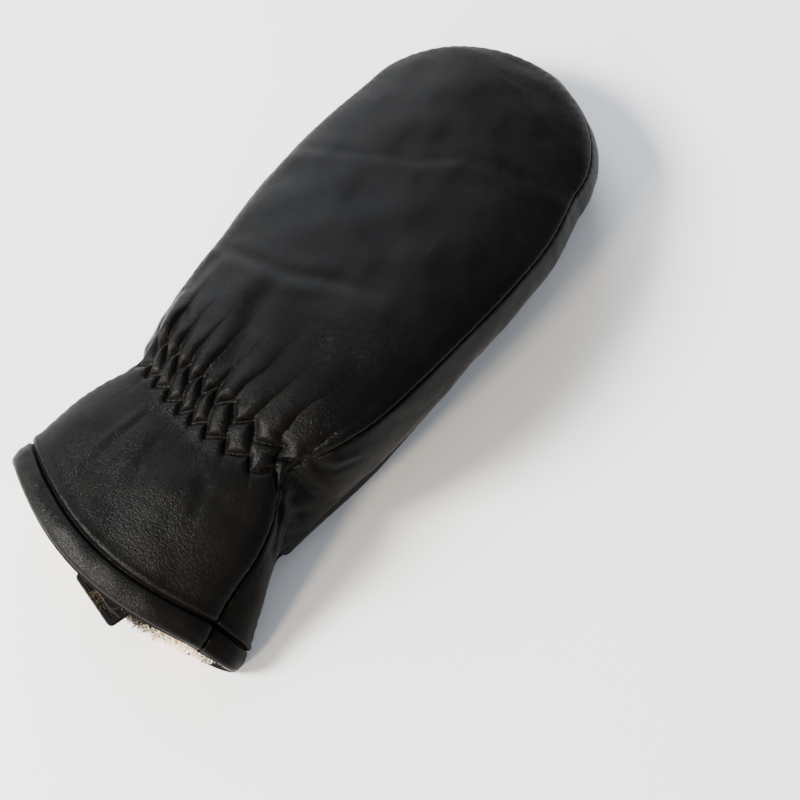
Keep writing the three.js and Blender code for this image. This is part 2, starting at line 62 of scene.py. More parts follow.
# The pattern, in millimetres. Along is the distance from the cuff's edge; x runs to the thumb's side,
# y to the fingertips and z up. The points are places on the seams, at the thumb's and the fingers' side.
SECTION_COLUMNS = ("along", "thumb_back", "thumb_palm", "finger_back", "finger_palm")
SECTIONS = (
    (0, (42.5, 4, 18), (53.5, 8, 4.5), (-61, 21, 16), (-56, 22, 3.5)),
    (12, (41.5, 14, 21.5), (52.5, 17, 6), (-58.5, 31, 19), (-54, 31, 4.5)),
    (26, (41, 26, 26), (50, 25, 9), (-56, 42, 22), (-52, 38, 6)),
    (40, (41, 40, 31), (46.5, 34, 12), (-53, 53, 25), (-49, 45, 8)),
    (52, (38.5, 52, 34), (43, 42, 13.5), (-49, 63, 27), (-46, 51, 10)),
    (62, (34, 62, 36), (41.5, 49, 14), (-44.5, 71, 29), (-43.5, 57, 12)),
    (71, (31.5, 71, 38.5), (43, 57, 14.5), (-42.5, 79, 31), (-42.5, 64, 13)),
    (78, (36.5, 78, 41), (45, 67, 16), (-43.5, 87, 33.5), (-43.5, 73, 14)),
    (85, (41.5, 85, 43.5), (47, 79, 17.5), (-45, 95, 35), (-45, 84, 14.5)),
    (101, (48, 101, 46.5), (50.5, 99, 19.5), (-47, 109, 36.5), (-46.5, 104, 15)),
    (126, (52, 126, 47), (53, 125, 20.5), (-48.5, 130, 37), (-48, 128, 15.5)),
    (150, (54, 150, 45.5), (53.5, 150, 20), (-50.5, 152, 37), (-50, 151, 15.5)),
    (177, (55, 177, 42), (54, 177, 18.5), (-51.5, 178, 36), (-51, 178, 14.5)),
    (204, (53.6, 204, 37), (53, 204, 15.5), (-51.5, 205, 33), (-51, 205, 12.5)),
    (230, (48, 230, 32.5), (47.7, 230, 11.5), (-49.5, 230, 30), (-49, 230, 10)),
)
SWELL_COLUMNS = ("along", "crown", "bow", "palm_bow", "bulge", "roll", "thumb_low", "middle", "finger_low")
SWELLS = (
    (0, 12.5, -13, -11, 3, 0.5, 0, 0, 0),
    (12, 12.5, -13, -10, 3, 0.5, 0, 0, 0),
    (26, 12, -11, -7, 3, 0.8, 0.4, 0, 0.3),
    (40, 10.5, -9, -5, 2.6, 0.8, 1.6, 1, 1),
    (52, 9, -8, -4, 2.2, 0.8, 3.2, 3, 2),
    (62, 8, -7, -3, 2, 1, 5, 5.5, 3),
    (71, 8, -7, -3, 2, 2, 7.5, 9, 4),
    (78, 8.2, -6.5, -2, 2.4, 3, 10, 12, 4.5),
    (85, 8.5, -6, -1, 2.8, 4, 12.5, 15, 5),
    (101, 9, -4, 0, 3, 4.4, 14.5, 18, 6),
    (126, 9.5, -1.5, 0, 3, 3, 15.5, 18.4, 7),
    (150, 9.5, 0, 0, 3, 2, 15.5, 18.4, 8),
    (177, 9, 0, 0, 3, 1.6, 13, 18.2, 8),
    (204, 8, 0, 0, 3, 1.4, 8, 13, 6),
    (230, 7, 0, 0, 3, 1.2, 1.8, 2, 1.8),
)


class Side(Enum):
    """Which side of the mitten: its value is the sign of x there."""

    THUMB = 1
    FINGERS = -1


class Seam(Enum):
    """One of the two seams that run round the mitten."""

    BACK = "back"
    PALM = "palm"


@dataclass(frozen=True)
class Chart:
    """Sizes in named columns, each read as a smooth curve along the mitten."""

    columns: tuple[str, ...]
    rows: tuple[tuple, ...]

    def read(self, name: str, along: Array) -> Array:
        """Reads one column.

        Args:
            name: The column's name.
            along: Distances from the cuff's edge, in millimetres.

        Returns:
            The column's value at each distance, with a last axis of 3 where the column holds points.
        """
        stops = np.array([row[0] for row in self.rows], dtype=float)
        values = np.array([row[self.columns.index(name)] for row in self.rows], dtype=float)
        count = len(stops)
        along = np.asarray(along, dtype=float)
        tail = (1,) * (values.ndim - 1)
        before = np.maximum(np.arange(count) - 1, 0)
        after = np.minimum(np.arange(count) + 1, count - 1)
        slope = (values[after] - values[before]) / (stops[after] - stops[before]).reshape(-1, *tail)
        low = np.clip(np.searchsorted(stops, along, side="left") - 1, 0, count - 2)
        step = (stops[low + 1] - stops[low]).reshape(*along.shape, *tail)
        share = np.clip((along - stops[low]).reshape(*along.shape, *tail) / step, 0.0, 1.0)
        ease = share * share * (3.0 - 2.0 * share)
        lean = share * (1.0 - share) * ((1.0 - share) * slope[low] - share * slope[low + 1]) * step
        return values[low] * (1.0 - ease) + values[low + 1] * ease + lean


@dataclass(frozen=True)
class MittenForm:
    """The mitten's smooth form, on which every piece is drawn. All sizes are in millimetres."""

    length: float = 305.0
    tip_start: float = 230.0
    tip_arc: float = 75.0
    tip_centre: Pair = (-1.0, 230.0)
    tip_length: float = 47.5
    tip_heights: Pair = (24.5, 4.5)
    tip_power: Pair = (1.08, 1.0)
    tip_floor: float = -0.6
    seam_gap: float = 0.3
    palm_edge: float = 0.76
    palm_low_at: float = 0.8
    sections: Chart = Chart(SECTION_COLUMNS, SECTIONS)
    swells: Chart = Chart(SWELL_COLUMNS, SWELLS)

    def tip_angle(self, along: Array) -> Array:
        """Returns how far round the fingertips a place lies, from 0 to a quarter turn."""
        return np.clip((np.asarray(along) - self.tip_start) / self.tip_arc, 0.0, 1.0) * np.pi / 2

    def swell(self, name: str, along: Array) -> Array:
        """Returns one column of the swells, held at its last value round the fingertips."""
        return self.swells.read(name, np.minimum(along, self.tip_start))

    @staticmethod
    def dome(across: Array) -> Array:
        """Returns the height of a full, squarish dome, from 1 in the middle to 0 at the seams."""
        return (1.0 - np.abs(np.clip(across, -1.0, 1.0)) ** 2.4) ** 0.6

    def seam_point(self, along: Array, side: Side, seam: Seam, inset: Array | float = 0.0,
                   shift: Pair = (0.0, 0.0)) -> Array:
        """Places points on a seam.

        Args:
            along: Distances from the cuff's edge.
            side: The side of the mitten.
            seam: The seam.
            inset: How far in from the leather's outside.
            shift: How far out in plan and up, for the gap between two sewn edges.

        Returns:
            The points, with a last axis of 3.
        """
        along = np.asarray(along, dtype=float)
        name = ("thumb_" if side is Side.THUMB else "finger_") + seam.value
        point = self.sections.read(name, np.minimum(along, self.tip_start))
        angle = self.tip_angle(along)
        power = self.tip_power[0] if side is Side.THUMB else self.tip_power[1]
        reach = np.abs(point[..., 0] - self.tip_centre[0])
        beyond = along > self.tip_start
        round_x = self.tip_centre[0] + side.value * reach * np.cos(angle).clip(0.0) ** power
        round_y = self.tip_centre[1] + self.tip_length * np.sin(angle) ** power
        x = np.where(beyond, round_x, point[..., 0])
        y = np.where(beyond, round_y, point[..., 1])
        tip_z = self.tip_heights[0] if seam is Seam.BACK else self.tip_heights[1]
        z = point[..., 2] + (tip_z - point[..., 2]) * np.sin(angle)
        down = -1.0 if seam is Seam.BACK else 1.0
        move = shift[0] - inset
        return np.stack(np.broadcast_arrays(
            x + side.value * np.cos(angle) * move,
            y + np.sin(angle) * move,
            z + down * inset + shift[1]), axis=-1)

    def back(self, along: Array, across: Array, inset: Array | float = 0.0) -> Array:
        """Places points on the back.

        Args:
            along: Distances from the cuff's edge.
            across: From -1 at the fingers' seam to 1 at the thumb's.
            inset: How far in from the leather's outside.

        Returns:
            The points, with a last axis of 3.
        """
        shift = (-self.seam_gap / 2, self.seam_gap / 2)
        left = self.seam_point(along, Side.FINGERS, Seam.BACK, inset, shift)
        right = self.seam_point(along, Side.THUMB, Seam.BACK, inset, shift)
        share = ((across + 1.0) / 2.0)[..., None]
        point = left * (1.0 - share) + right * share
        crown = self.swell("crown", along) * self.dome(np.sin(self.tip_angle(along)))
        point[..., 1] += self.swell("bow", along) * (1.0 - across ** 2)
        point[..., 2] += crown * self.dome(across)
        return point

    def palm(self, along: Array, across: Array, inset: Array | float = 0.0) -> Array:
        """Places points on the palm, which rolls out under its seams and arches over the thumb.

        Args:
            along: Distances from the cuff's edge.
            across: From -1 at the fingers' seam to 1 at the thumb's.
            inset: How far in from the leather's outside.

        Returns:
            The points, with a last axis of 3.
        """
        shift = (-self.seam_gap / 2, -self.seam_gap / 2)
        left = self.seam_point(along, Side.FINGERS, Seam.PALM, inset, shift)
        right = self.seam_point(along, Side.THUMB, Seam.PALM, inset, shift)
        share = (across + 1.0) / 2.0
        point = left * (1.0 - share[..., None]) + right * share[..., None]
        tip = np.sin(self.tip_angle(along))
        side_low = np.where(across > 0, self.swell("thumb_low", along), self.swell("finger_low", along))
        low = side_low + (self.tip_floor - side_low) * tip
        middle = self.swell("middle", along)
        middle = middle + (self.tip_floor - middle) * tip
        edge = np.clip((np.abs(across) - self.palm_edge) / (1.0 - self.palm_edge), 0.0, 1.0)
        blend = np.clip(np.abs(across) / self.palm_low_at, 0.0, 1.0) ** 3
        base = middle + (low - middle) * blend + inset
        ends = np.sqrt(np.clip(1.0 - tip ** 6, 0.0, 1.0))
        height = np.sqrt(1.0 - edge * edge) * ends
        rise = point[..., 2] * (1.0 - height) + np.maximum(base, inset) * height
        roll = self.swell("roll", along) * np.sin(np.pi * edge) * np.sign(across) * ends
        point[..., 0] += roll
        point[..., 1] += self.swell("palm_bow", along) * (1.0 - across ** 2)
        point[..., 2] = np.maximum(np.maximum(rise, inset), 0.0)
        return point

    def strip(self, along: Array, side: Side, up: Array, inset: Array | float = 0.0) -> Array:
        """Places points on the side strip.

        Args:
            along: Distances from the cuff's edge.
            side: The side of the mitten.
            up: From 0 at the palm seam to 1 at the back seam.
            inset: How far in from the leather's outside.

        Returns:
            The points, with a last axis of 3.
        """
        half = self.seam_gap / 2
        low = self.seam_point(along, side, Seam.PALM, inset, (half, half))
        high = self.seam_point(along, side, Seam.BACK, inset, (half, -half))
        angle = self.tip_angle(along)
        out = self.swell("bulge", along) * np.sin(np.pi * up)
        point = low * (1.0 - up[..., None]) + high * up[..., None]
        point[..., 0] += side.value * np.cos(angle) * out
        point[..., 1] += np.sin(angle) * out
        return point


# From the cuff's edge to the frame's origin, in millimetres
FRAME_SHIFT = np.array([2.086, -135.297, 0.0])


def set_down(points: Array) -> Array:
    """Turns pattern millimetres into metres in the frame, and keeps every point above the floor.

    Args:
        points: Places in the pattern, in millimetres.

    Returns:
        The same places in the frame, in metres.
    """
    placed = (points + FRAME_SHIFT) * MM
    placed[..., 2] = np.maximum(placed[..., 2], 0.0)
    return placed


def ripple(points: Array, wavelength: float, seed: int) -> Array:
    """Works out a soft random unevenness.

    Args:
        points: Places, in millimetres.
        wavelength: The usual distance from crest to crest, in millimetres.
        seed: Which unevenness.

    Returns:
        Heights from about -1 to 1.
    """
    waves = 9
    rng = np.random.default_rng(seed)
    total = np.zeros(points.shape[:-1])
    bend = np.zeros(points.shape[:-1])
    for turn in range(waves):
        direction = rng.normal(size=3)
        direction /= np.linalg.norm(direction)
        length = wavelength * rng.uniform(0.7, 1.5)
        wave = np.sin(points @ direction * (2 * np.pi / length) + rng.uniform(0, 2 * np.pi) + bend)
        total += wave
        bend = 0.8 * wave if turn % 3 != 2 else np.zeros_like(bend)
    return total / (waves / 2)


def bell(distance: Array, width: float) -> Array:
    """Returns 1 at no distance, falling softly to 0 a few widths away."""
    return np.exp(-(distance / width) ** 2)


def rounded(share: Array) -> Array:
    """Returns how far a quarter-round edge falls away, from 0 at a share of 0 to 1 at a share of 1."""
    return 1 - np.sqrt(1 - np.clip(share, 0, 1) ** 2)


def unit(vectors: Array) -> Array:
    """Returns vectors at a length of 1."""
    return vectors / (np.linalg.norm(vectors, axis=-1, keepdims=True) + 1e-12)


def run_of(points: Array) -> Array:
    """Returns how far along a line each of its points lies."""
    return np.concatenate([[0.0], np.cumsum(np.linalg.norm(np.diff(points, axis=0), axis=1))])


def nearest(points: Array, places: Array) -> tuple[Array, Array]:
    """Finds each point's nearest place.

    Args:
        points: The points, with a last axis of 3.
        places: The places, in one list.

    Returns:
        The places' numbers and the distances to them, in the points' own shape.
    """
    tree = KDTree(len(places))
    for number, place in enumerate(places):
        tree.insert(place, number)
    tree.balance()
    found = [tree.find(point)[1:] for point in points.reshape(-1, 3)]
    numbers = np.array([number for number, _ in found]).reshape(points.shape[:-1])
    return numbers, np.array([gap for _, gap in found]).reshape(points.shape[:-1])


def linked(name: str, data: bpy.types.ID) -> Piece:
    """Makes an object from its data.

    Args:
        name: The object's name.
        data: Its mesh, lamp or camera data.

    Returns:
        The object, linked to the scene.
    """
    made = bpy.data.objects.new(name, data)
    bpy.context.scene.collection.objects.link(made)
    return made


@dataclass
class Sheet:
    """A surface as a grid of points, with the way out at each."""

    along: Array
    across: Array
    points: Array
    outward: Array

    @classmethod
    def through(cls, along: Array, across: Array, points: Array, turn: float) -> "Sheet":
        """Makes a sheet from its points.

        Args:
            along: The rows' distances.
            across: The columns' places.
            points: The points, rows by columns by 3.
            turn: 1 where rows to columns turn the right way, otherwise -1.

        Returns:
            The sheet.
        """
        right = np.gradient(points, axis=1)
        ahead = np.gradient(points, axis=0)
        return cls(along, across, points, unit(np.cross(right, ahead) * turn))

    def raised(self, height: Array) -> "Sheet":
        """Returns the sheet with its points moved out by a height."""
        return Sheet(self.along, self.across, self.points + self.outward * height[..., None], self.outward)

    def place(self, along: Array, across: Array) -> tuple[Array, Array]:
        """Finds places on the sheet between its points.

        Args:
            along: Distances along.
            across: Places across.

        Returns:
            The points there, and the ways out.
        """
        row = np.interp(along, self.along, np.arange(len(self.along)))
        col = np.interp(across, self.across, np.arange(len(self.across)))
        r0 = np.minimum(row.astype(int), len(self.along) - 2)
        c0 = np.minimum(col.astype(int), len(self.across) - 2)
        fr = (row - r0)[:, None]
        fc = (col - c0)[:, None]
        found = []
        for grid in (self.points, self.outward):
            near = grid[r0, c0] * (1 - fc) + grid[r0, c0 + 1] * fc
            far = grid[r0 + 1, c0] * (1 - fc) + grid[r0 + 1, c0 + 1] * fc
            found.append(near * (1 - fr) + far * fr)
        return found[0], found[1]


@dataclass
class Skin:
    """Gathers the points and faces of one piece."""

    points: list[Array] = field(default_factory=list)
    faces: list[Array] = field(default_factory=list)
    count: int = 0

    def add(self, points: Array) -> Array:
        """Adds points.

        Args:
            points: The points, with a last axis of 3.

        Returns:
            Their numbers, in the same shape.
        """
        shape = points.shape[:-1]
        numbers = np.arange(self.count, self.count + int(np.prod(shape))).reshape(shape)
        self.points.append(points.reshape(-1, 3))
        self.count += numbers.size
        return numbers

    def quads(self, grid: Array, flip: bool = False) -> None:
        """Joins a grid of numbers by four-sided faces.

        Args:
            grid: The numbers, rows by columns.
            flip: Turns the faces over.
        """
        quad = np.stack([grid[:-1, :-1], grid[:-1, 1:], grid[1:, 1:], grid[1:, :-1]], axis=-1).reshape(-1, 4)
        self.faces.append(quad[:, ::-1] if flip else quad)

    def band(self, lower: Array, upper: Array, flip: bool = False) -> None:
        """Joins two lines of numbers that may differ in length.

        Args:
            lower: The first line.
            upper: The second line.
            flip: Turns the faces over.
        """
        triangles = []
        a = b = 0
        last_a, last_b = len(lower) - 1, len(upper) - 1
        while a < last_a or b < last_b:
            if b == last_b or (a < last_a and (a + 1) / last_a <= (b + 1) / last_b + 1e-9):
                triangles.append((lower[a], lower[a + 1], upper[b]))
                a += 1
            else:
                triangles.append((lower[a], upper[b + 1], upper[b]))
                b += 1
        face = np.array(triangles)
        self.faces.append(face[:, ::-1] if flip else face)

    def wall(self, outside: Array, inside: Array, flip: bool = False) -> None:
        """Adds a closed wall between two grids of points.

        Args:
            outside: The outside's points.
            inside: The inside's points, which may have fewer rows and columns.
            flip: Turns every face over.
        """
        out = self.add(outside)
        back = self.add(inside)
        self.quads(out, flip)
        self.quads(back, not flip)
        self.band(back[0], out[0], flip)
        self.band(out[-1], back[-1], flip)
        self.band(out[:, 0], back[:, 0], flip)
        self.band(back[:, -1], out[:, -1], flip)

    def mesh(self, name: str, smooth: bool = True) -> Piece:
        """Makes the piece's object.

        Args:
            name: The piece's name.
            smooth: Shades the faces smoothly.

        Returns:
            The object, linked to the scene.
        """
        points = np.concatenate(self.points)
        mesh = bpy.data.meshes.new(name)
        sizes = np.concatenate([np.full(len(face), face.shape[1]) for face in self.faces])
        corners = np.concatenate([face.reshape(-1) for face in self.faces])
        mesh.vertices.add(len(points))
        mesh.vertices.foreach_set("co", points.astype(np.float32).reshape(-1))
        mesh.loops.add(len(corners))
        mesh.loops.foreach_set("vertex_index", corners.astype(np.int32))
        mesh.polygons.add(len(sizes))
        mesh.polygons.foreach_set("loop_start", (np.cumsum(sizes) - sizes).astype(np.int32))
        mesh.update(calc_edges=True)
        mesh.validate()
        mesh.polygons.foreach_set("use_smooth", np.full(len(mesh.polygons), smooth))
        return linked(name, mesh)


def mark(piece: Piece, **numbers: Array) -> None:
    """Stores numbers for each of a piece's points.

    Args:
        piece: The piece.
        numbers: Each set of numbers, by the name that its material reads.
    """
    for name, values in numbers.items():
        full = np.zeros(len(piece.data.vertices), dtype=np.float32)
        full[:values.size] = values.reshape(-1)
        piece.data.attributes.new(name, "FLOAT", "POINT").data.foreach_set("value", full)


def dress(piece: Piece, material: Material, slot: str, *nodes: str) -> Piece:
    """Gives a piece its material, hangs it under the root body and hides the CAD nodes that it stands for.

    Args:
        piece: The piece.
        material: Its material.
        slot: The record's material slot; not used.
        nodes: The CAD nodes that it stands for.

    Returns:
        The piece.
    """
    piece.data.materials.append(material)
    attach(piece, "root")
    if nodes:
        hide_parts(*nodes)
    return piece


def leather_piece(name: str, sheet: Sheet, inside: Array, flip: bool, wrinkles: Array,
                  material: Material, node: str) -> Piece:
    """Builds one leather piece from its two faces.

    Args:
        name: The piece's name.
        sheet: Its outside.
        inside: The points of its inside.
        flip: Turns its faces over.
        wrinkles: How strongly fine wrinkles show at each point of the outside.
        material: Its leather.
        node: The CAD node that it stands for.

    Returns:
        The object.
    """
    skin = Skin()
    skin.wall(set_down(sheet.points), set_down(inside), flip)
    piece = skin.mesh(name)
    mark(piece, fine_wrinkles=wrinkles)
    return dress(piece, material, "black_leather", node)


@dataclass(frozen=True)
class Hem:
    """The cuff's turned-in edge. Sizes in millimetres."""

    width: float = 12.0
    wall: float = 4.4
    leather: float = 1.6
    fullness: float = 0.7
    groove: float = 1.7
    groove_width: float = 0.8
    lip: float = 0.6
    lip_width: float = 1.6
    lip_beyond: float = 2.4
    ease: float = 2.5
    stitched: float = 0.985

    def height(self, along: Array) -> Array:
        """Works out how far the outside stands out of the form.

        Args:
            along: Distances from the cuff's edge.

        Returns:
            The heights, from the rounded edge to above the groove.
        """
        half = self.wall / 2
        full = self.fullness * np.sin(np.pi * np.clip((along - 1) / (self.width - 1), 0, 1))
        lip = self.lip * bell(along - self.width - self.lip_beyond, self.lip_width)
        groove = self.groove * bell(along - self.width, self.groove_width)
        return full + lip - half * rounded(1 - along / half) - groove

    def depth(self, along: Array) -> Array:
        """Works out how deep the inside of the wall lies.

        Args:
            along: Distances from the cuff's edge.

        Returns:
            The depths: the turned wall's in the hem, and one leather's past it.
        """
        half = self.wall / 2
        past = np.clip((along - self.width) / self.ease, 0, 1)
        return half * (2 - rounded(1 - along / half)) * (1 - past) + self.leather * past

    def stitch_line(self) -> Array:
        """Traces the hem's stitches across a panel.

        Returns:
            The line's corners, as distance along and place across.
        """
        across = np.linspace(-self.stitched, self.stitched, 40)
        return np.stack([np.full(across.size, self.width), across], axis=-1)


@dataclass(frozen=True)
class SeamRoll:
    """How leather turns under into a sewn seam. Sizes in millimetres."""

    depth: float = 1.1
    width: float = 1.9
    pucker: float = 0.17
    pitch: float = 4.6
    pucker_reach: float = 2.6

    def height(self, points: Array, seam: Array, seed: int) -> Array:
        """Works out how far the leather dips towards a seam.

        Args:
            points: The leather's points.
            seam: Points along the seam.
            seed: Which unevenness the puckers have.

        Returns:
            The heights, which are 0 away from the seam.
        """
        number, distance = nearest(points, seam)
        turned = self.depth * rounded(1 - distance / self.width)
        wave = np.sin(2 * np.pi * run_of(seam)[number] / self.pitch + 1.5 * ripple(seam, 22, seed)[number])
        return self.pucker * (wave - 0.6) * np.exp(-distance / self.pucker_reach) - turned


@dataclass(frozen=True)
class Crease:
    """A soft fold along a few places. Each place is a distance along and a place across."""

    places: tuple[Pair, ...]
    width: float
    depth: float
    shoulder: float = 0.0
    shoulder_at: float = 1.7
    shoulder_width: float = 1.3
    fade: float = 0.6

    def height(self, along: Array, across: Array, half_width: Array) -> Array:
        """Works out the fold's height.

        Args:
            along: The points' distances along.
            across: The points' places across.
            half_width: Half the leather's width at each point.

        Returns:
            The heights, below 0 in the fold, and above it on its cuff side where it has a shoulder.
        """
        x = across * half_width
        best = np.full(x.shape, 1e6)
        beside = np.zeros(x.shape)
        run = np.zeros(x.shape)
        for number, ((a0, t0), (a1, t1)) in enumerate(zip(self.places[:-1], self.places[1:])):
            first = np.stack(np.broadcast_arrays(t0 * half_width, a0), axis=-1)
            step = np.stack(np.broadcast_arrays((t1 - t0) * half_width, a1 - a0), axis=-1)
            here = np.stack(np.broadcast_arrays(x, along), axis=-1) - first
            length = (step ** 2).sum(-1)
            share = (here * step).sum(-1) / length
            held = np.clip(share, 0, 1)
            gap = np.linalg.norm(here - step * held[..., None], axis=-1)
            side = (here[..., 1] * step[..., 0] - here[..., 0] * step[..., 1]) / np.sqrt(length)
            closer = gap < best
            best = np.where(closer, gap, best)
            beside = np.where(closer, side, beside)
            run = np.where(closer, number + held, run)
        fold = -self.depth * bell(best, self.width)
        from_shoulder = best - self.shoulder_at * self.width
        shoulder = self.shoulder * bell(from_shoulder, self.shoulder_width * self.width)
        fade = np.sin(np.pi * np.clip(run / (len(self.places) - 1), 0.0, 1.0)) ** self.fade
        return (fold + shoulder * (beside < 0)) * fade


@dataclass(frozen=True)
class Gathers:
    """Leather drawn up by zigzag seams over elastic. Sizes in millimetres, places across from -1 to 1."""

    folds: tuple[float, ...]
    upper: tuple[Pair, ...]
    lower: tuple[Pair, ...] = ()
    lean: tuple[Pair, ...] = (
        (50, -0.78), (58, -0.72), (65.5, -0.58), (70, -0.33), (75, 0.0), (79.5, 0.55), (86, 0.66),
        (96, 0.7))
    tooth: float = 4.8
    stitch_depth: float = 1.7
    stitch_width: float = 0.95
    fold_depth: float = 0.8
    fold_width: float = 0.9
    hand_puff: float = 2.3
    middle_puff: float = 1.15
    cuff_puff: float = 1.3
    hand_swell: float = 0.9
    cuff_swell: float = 0.5
    reach: float = 9.5
    cuff_reach: float = 7.0
    span: float = 38.0
    waver: float = 0.07
    sewn_to: float = 0.97
    seed: int = 5

    def phase(self, along: Array, across: Array) -> Array:
        """Returns how many folds lie between a place and the first fold."""
        stops, shifts = np.array(self.lean).T
        return np.interp(across, self.folds, np.arange(len(self.folds))) + np.interp(along, stops, shifts)

    def seam_low(self, row: tuple[Pair, ...], across: Array) -> Array:
        """Returns how far along the cuff side of a zigzag row lies."""
        places, distances = np.array(row).T
        return np.interp(across, places, distances)

    def gaps(self, along: Array, across: Array, half_width: Array,
             share: Array) -> tuple[Array, Array, Array, Array]:
        """Measures how far points lie from the folds and the zigzag rows.

        Args:
            along: The points' distances along.
            across: The points' places across.
            half_width: Half the leather's width at each point.
            share: How far each point lies from one fold to the next, from 0 to 1.

        Returns:
            The distances to the nearest fold and to the nearest thread, and how far past the upper and the
            lower row; with one row, both say the same.
        """
        pitch = half_width * np.interp(across, self.folds[:-1], np.diff(self.folds))
        stops, shifts = np.array(self.lean).T
        slope = np.interp(along, (stops[1:] + stops[:-1]) / 2, np.diff(shifts) / np.diff(stops))
        fold_gap = np.minimum(share, 1 - share) / np.sqrt(1 / pitch ** 2 + slope ** 2)
        row_slope = np.sqrt((1 - self.tooth * slope) ** 2 + (self.tooth / pitch) ** 2)
        threads = []
        beyond = []
        for row in filter(None, (self.upper, self.lower)):
            low = self.seam_low(row, across)
            past = along - low - self.tooth * share
            leg = np.maximum(np.maximum(low - along, along - low - self.tooth), 0)
            threads += [np.abs(past) / row_slope, np.hypot(fold_gap, leg)]
            beyond.append(past)
        return fold_gap, np.minimum.reduce(threads), beyond[0], beyond[-1]

    def height(self, along: Array, across: Array, half_width: Array) -> Array:
        """Works out the gathers' height.

        Args:
            along: The points' distances along.
            across: The points' places across.
            half_width: Half the leather's width at each point.

        Returns:
            The heights.
        """
        rng = np.random.default_rng(self.seed)
        count = len(self.folds) + 3
        strength = rng.uniform(0.7, 1.2, count)
        lengths = rng.uniform(0.5, 1.5, count)
        plan = np.stack([across * half_width, along, 0 * along], axis=-1)
        phase = self.phase(along, across) + self.waver * ripple(plan, 17, self.seed)
        puff = np.clip(np.floor(phase).astype(int), 0, count - 1)
        share = phase - np.floor(phase)
        fold_gap, gap, past_upper, past_lower = self.gaps(along, across, half_width, share)
        shape = 1 - np.abs(2 * np.clip(share, 1e-6, 1) ** 1.4 - 1) ** 2.3
        reach = self.reach * lengths[puff] * (1 + 0.25 * across ** 2)
        up = np.clip(past_upper, 0, None)
        down = np.clip(-np.minimum(past_upper, past_lower), 0, None)
        hand = self.hand_puff * shape * np.exp(-(up / reach) ** 1.5)
        hand += self.hand_swell * (1 - np.exp(-up / 3)) * np.exp(-up / 24)
        middle = self.middle_puff * shape ** 0.8
        cuff = self.cuff_puff * shape * np.exp(-(down / self.cuff_reach) ** 1.3)
        cuff += self.cuff_swell * np.exp(-down / 12)
        in_hand = past_upper > 0
        in_middle = ~in_hand & (past_lower > 0)
        puffed = np.where(in_hand, hand, np.where(in_middle, middle, cuff))
        puffed *= strength[puff] * (1 - np.exp(-gap / 1.5))
        sewn = -self.stitch_depth * np.exp(-(gap / self.stitch_width) ** 1.3)
        tail = np.where(in_hand, np.exp(-up / (0.75 * reach)), np.where(in_middle, 0.9, np.exp(-down / 6)))
        folded = -self.fold_depth * np.exp(-fold_gap / self.fold_width) * tail
        from_middle = np.abs(along - self.seam_low(self.upper, across) + 4)
        near = 1 / (1 + np.exp((from_middle - self.span) / 4))
        fade = np.clip((1 - np.abs(across)) / 0.06, 0, 1)
        return (puffed + np.minimum(sewn, folded)) * near * fade

    def stitch_line(self, row: tuple[Pair, ...]) -> Array:
        """Traces a zigzag row.

        Args:
            row: The row's cuff side.

        Returns:
            The line's corners, as distance along and place across.
        """
        corners = []
        stops, shifts = np.array(self.lean).T
        fold_numbers = np.arange(len(self.folds))
        for number in range(1, len(self.folds) - 1):
            for rise in (self.tooth, 0.0):
                across = self.folds[number]
                for _ in range(6):
                    along = self.seam_low(row, across) + rise
                    want = number - np.interp(along, stops, shifts)
                    across = float(np.interp(want, fold_numbers, self.folds))
                corners.append((float(along), across))
        return np.array([corner for corner in corners if abs(corner[1]) < self.sewn_to])


def grid_of(along: Array, across: Array) -> tuple[Array, Array]:
    """Returns the distances and places of every point of a grid."""
    return np.meshgrid(along, across, indexing="ij")


def steps(*runs: Triple) -> Array:
    """Returns stops along the mitten, from runs that each have a start, an end and a step."""
    parts = [np.arange(start, end - step * 0.3, step) for start, end, step in runs]
    return np.concatenate([*parts, [runs[-1][1]]])


def edge_wise(count: int) -> Array:
    """Returns places from -1 to 1 that lie closer together towards both seams."""
    share = np.linspace(-1, 1, count)
    return 1.3 * share - 0.3 * share ** 3


def seam_line(form: MittenForm, seam: Seam) -> Array:
    """Traces one seam.

    Args:
        form: The mitten's form.
        seam: The seam.

    Returns:
        Points up the fingers' side, round the tip and down the thumb's.
    """
    stops = np.linspace(0, form.length, 600)
    up = form.seam_point(stops, Side.FINGERS, seam)
    return np.concatenate([up, form.seam_point(stops, Side.THUMB, seam)[::-1]])


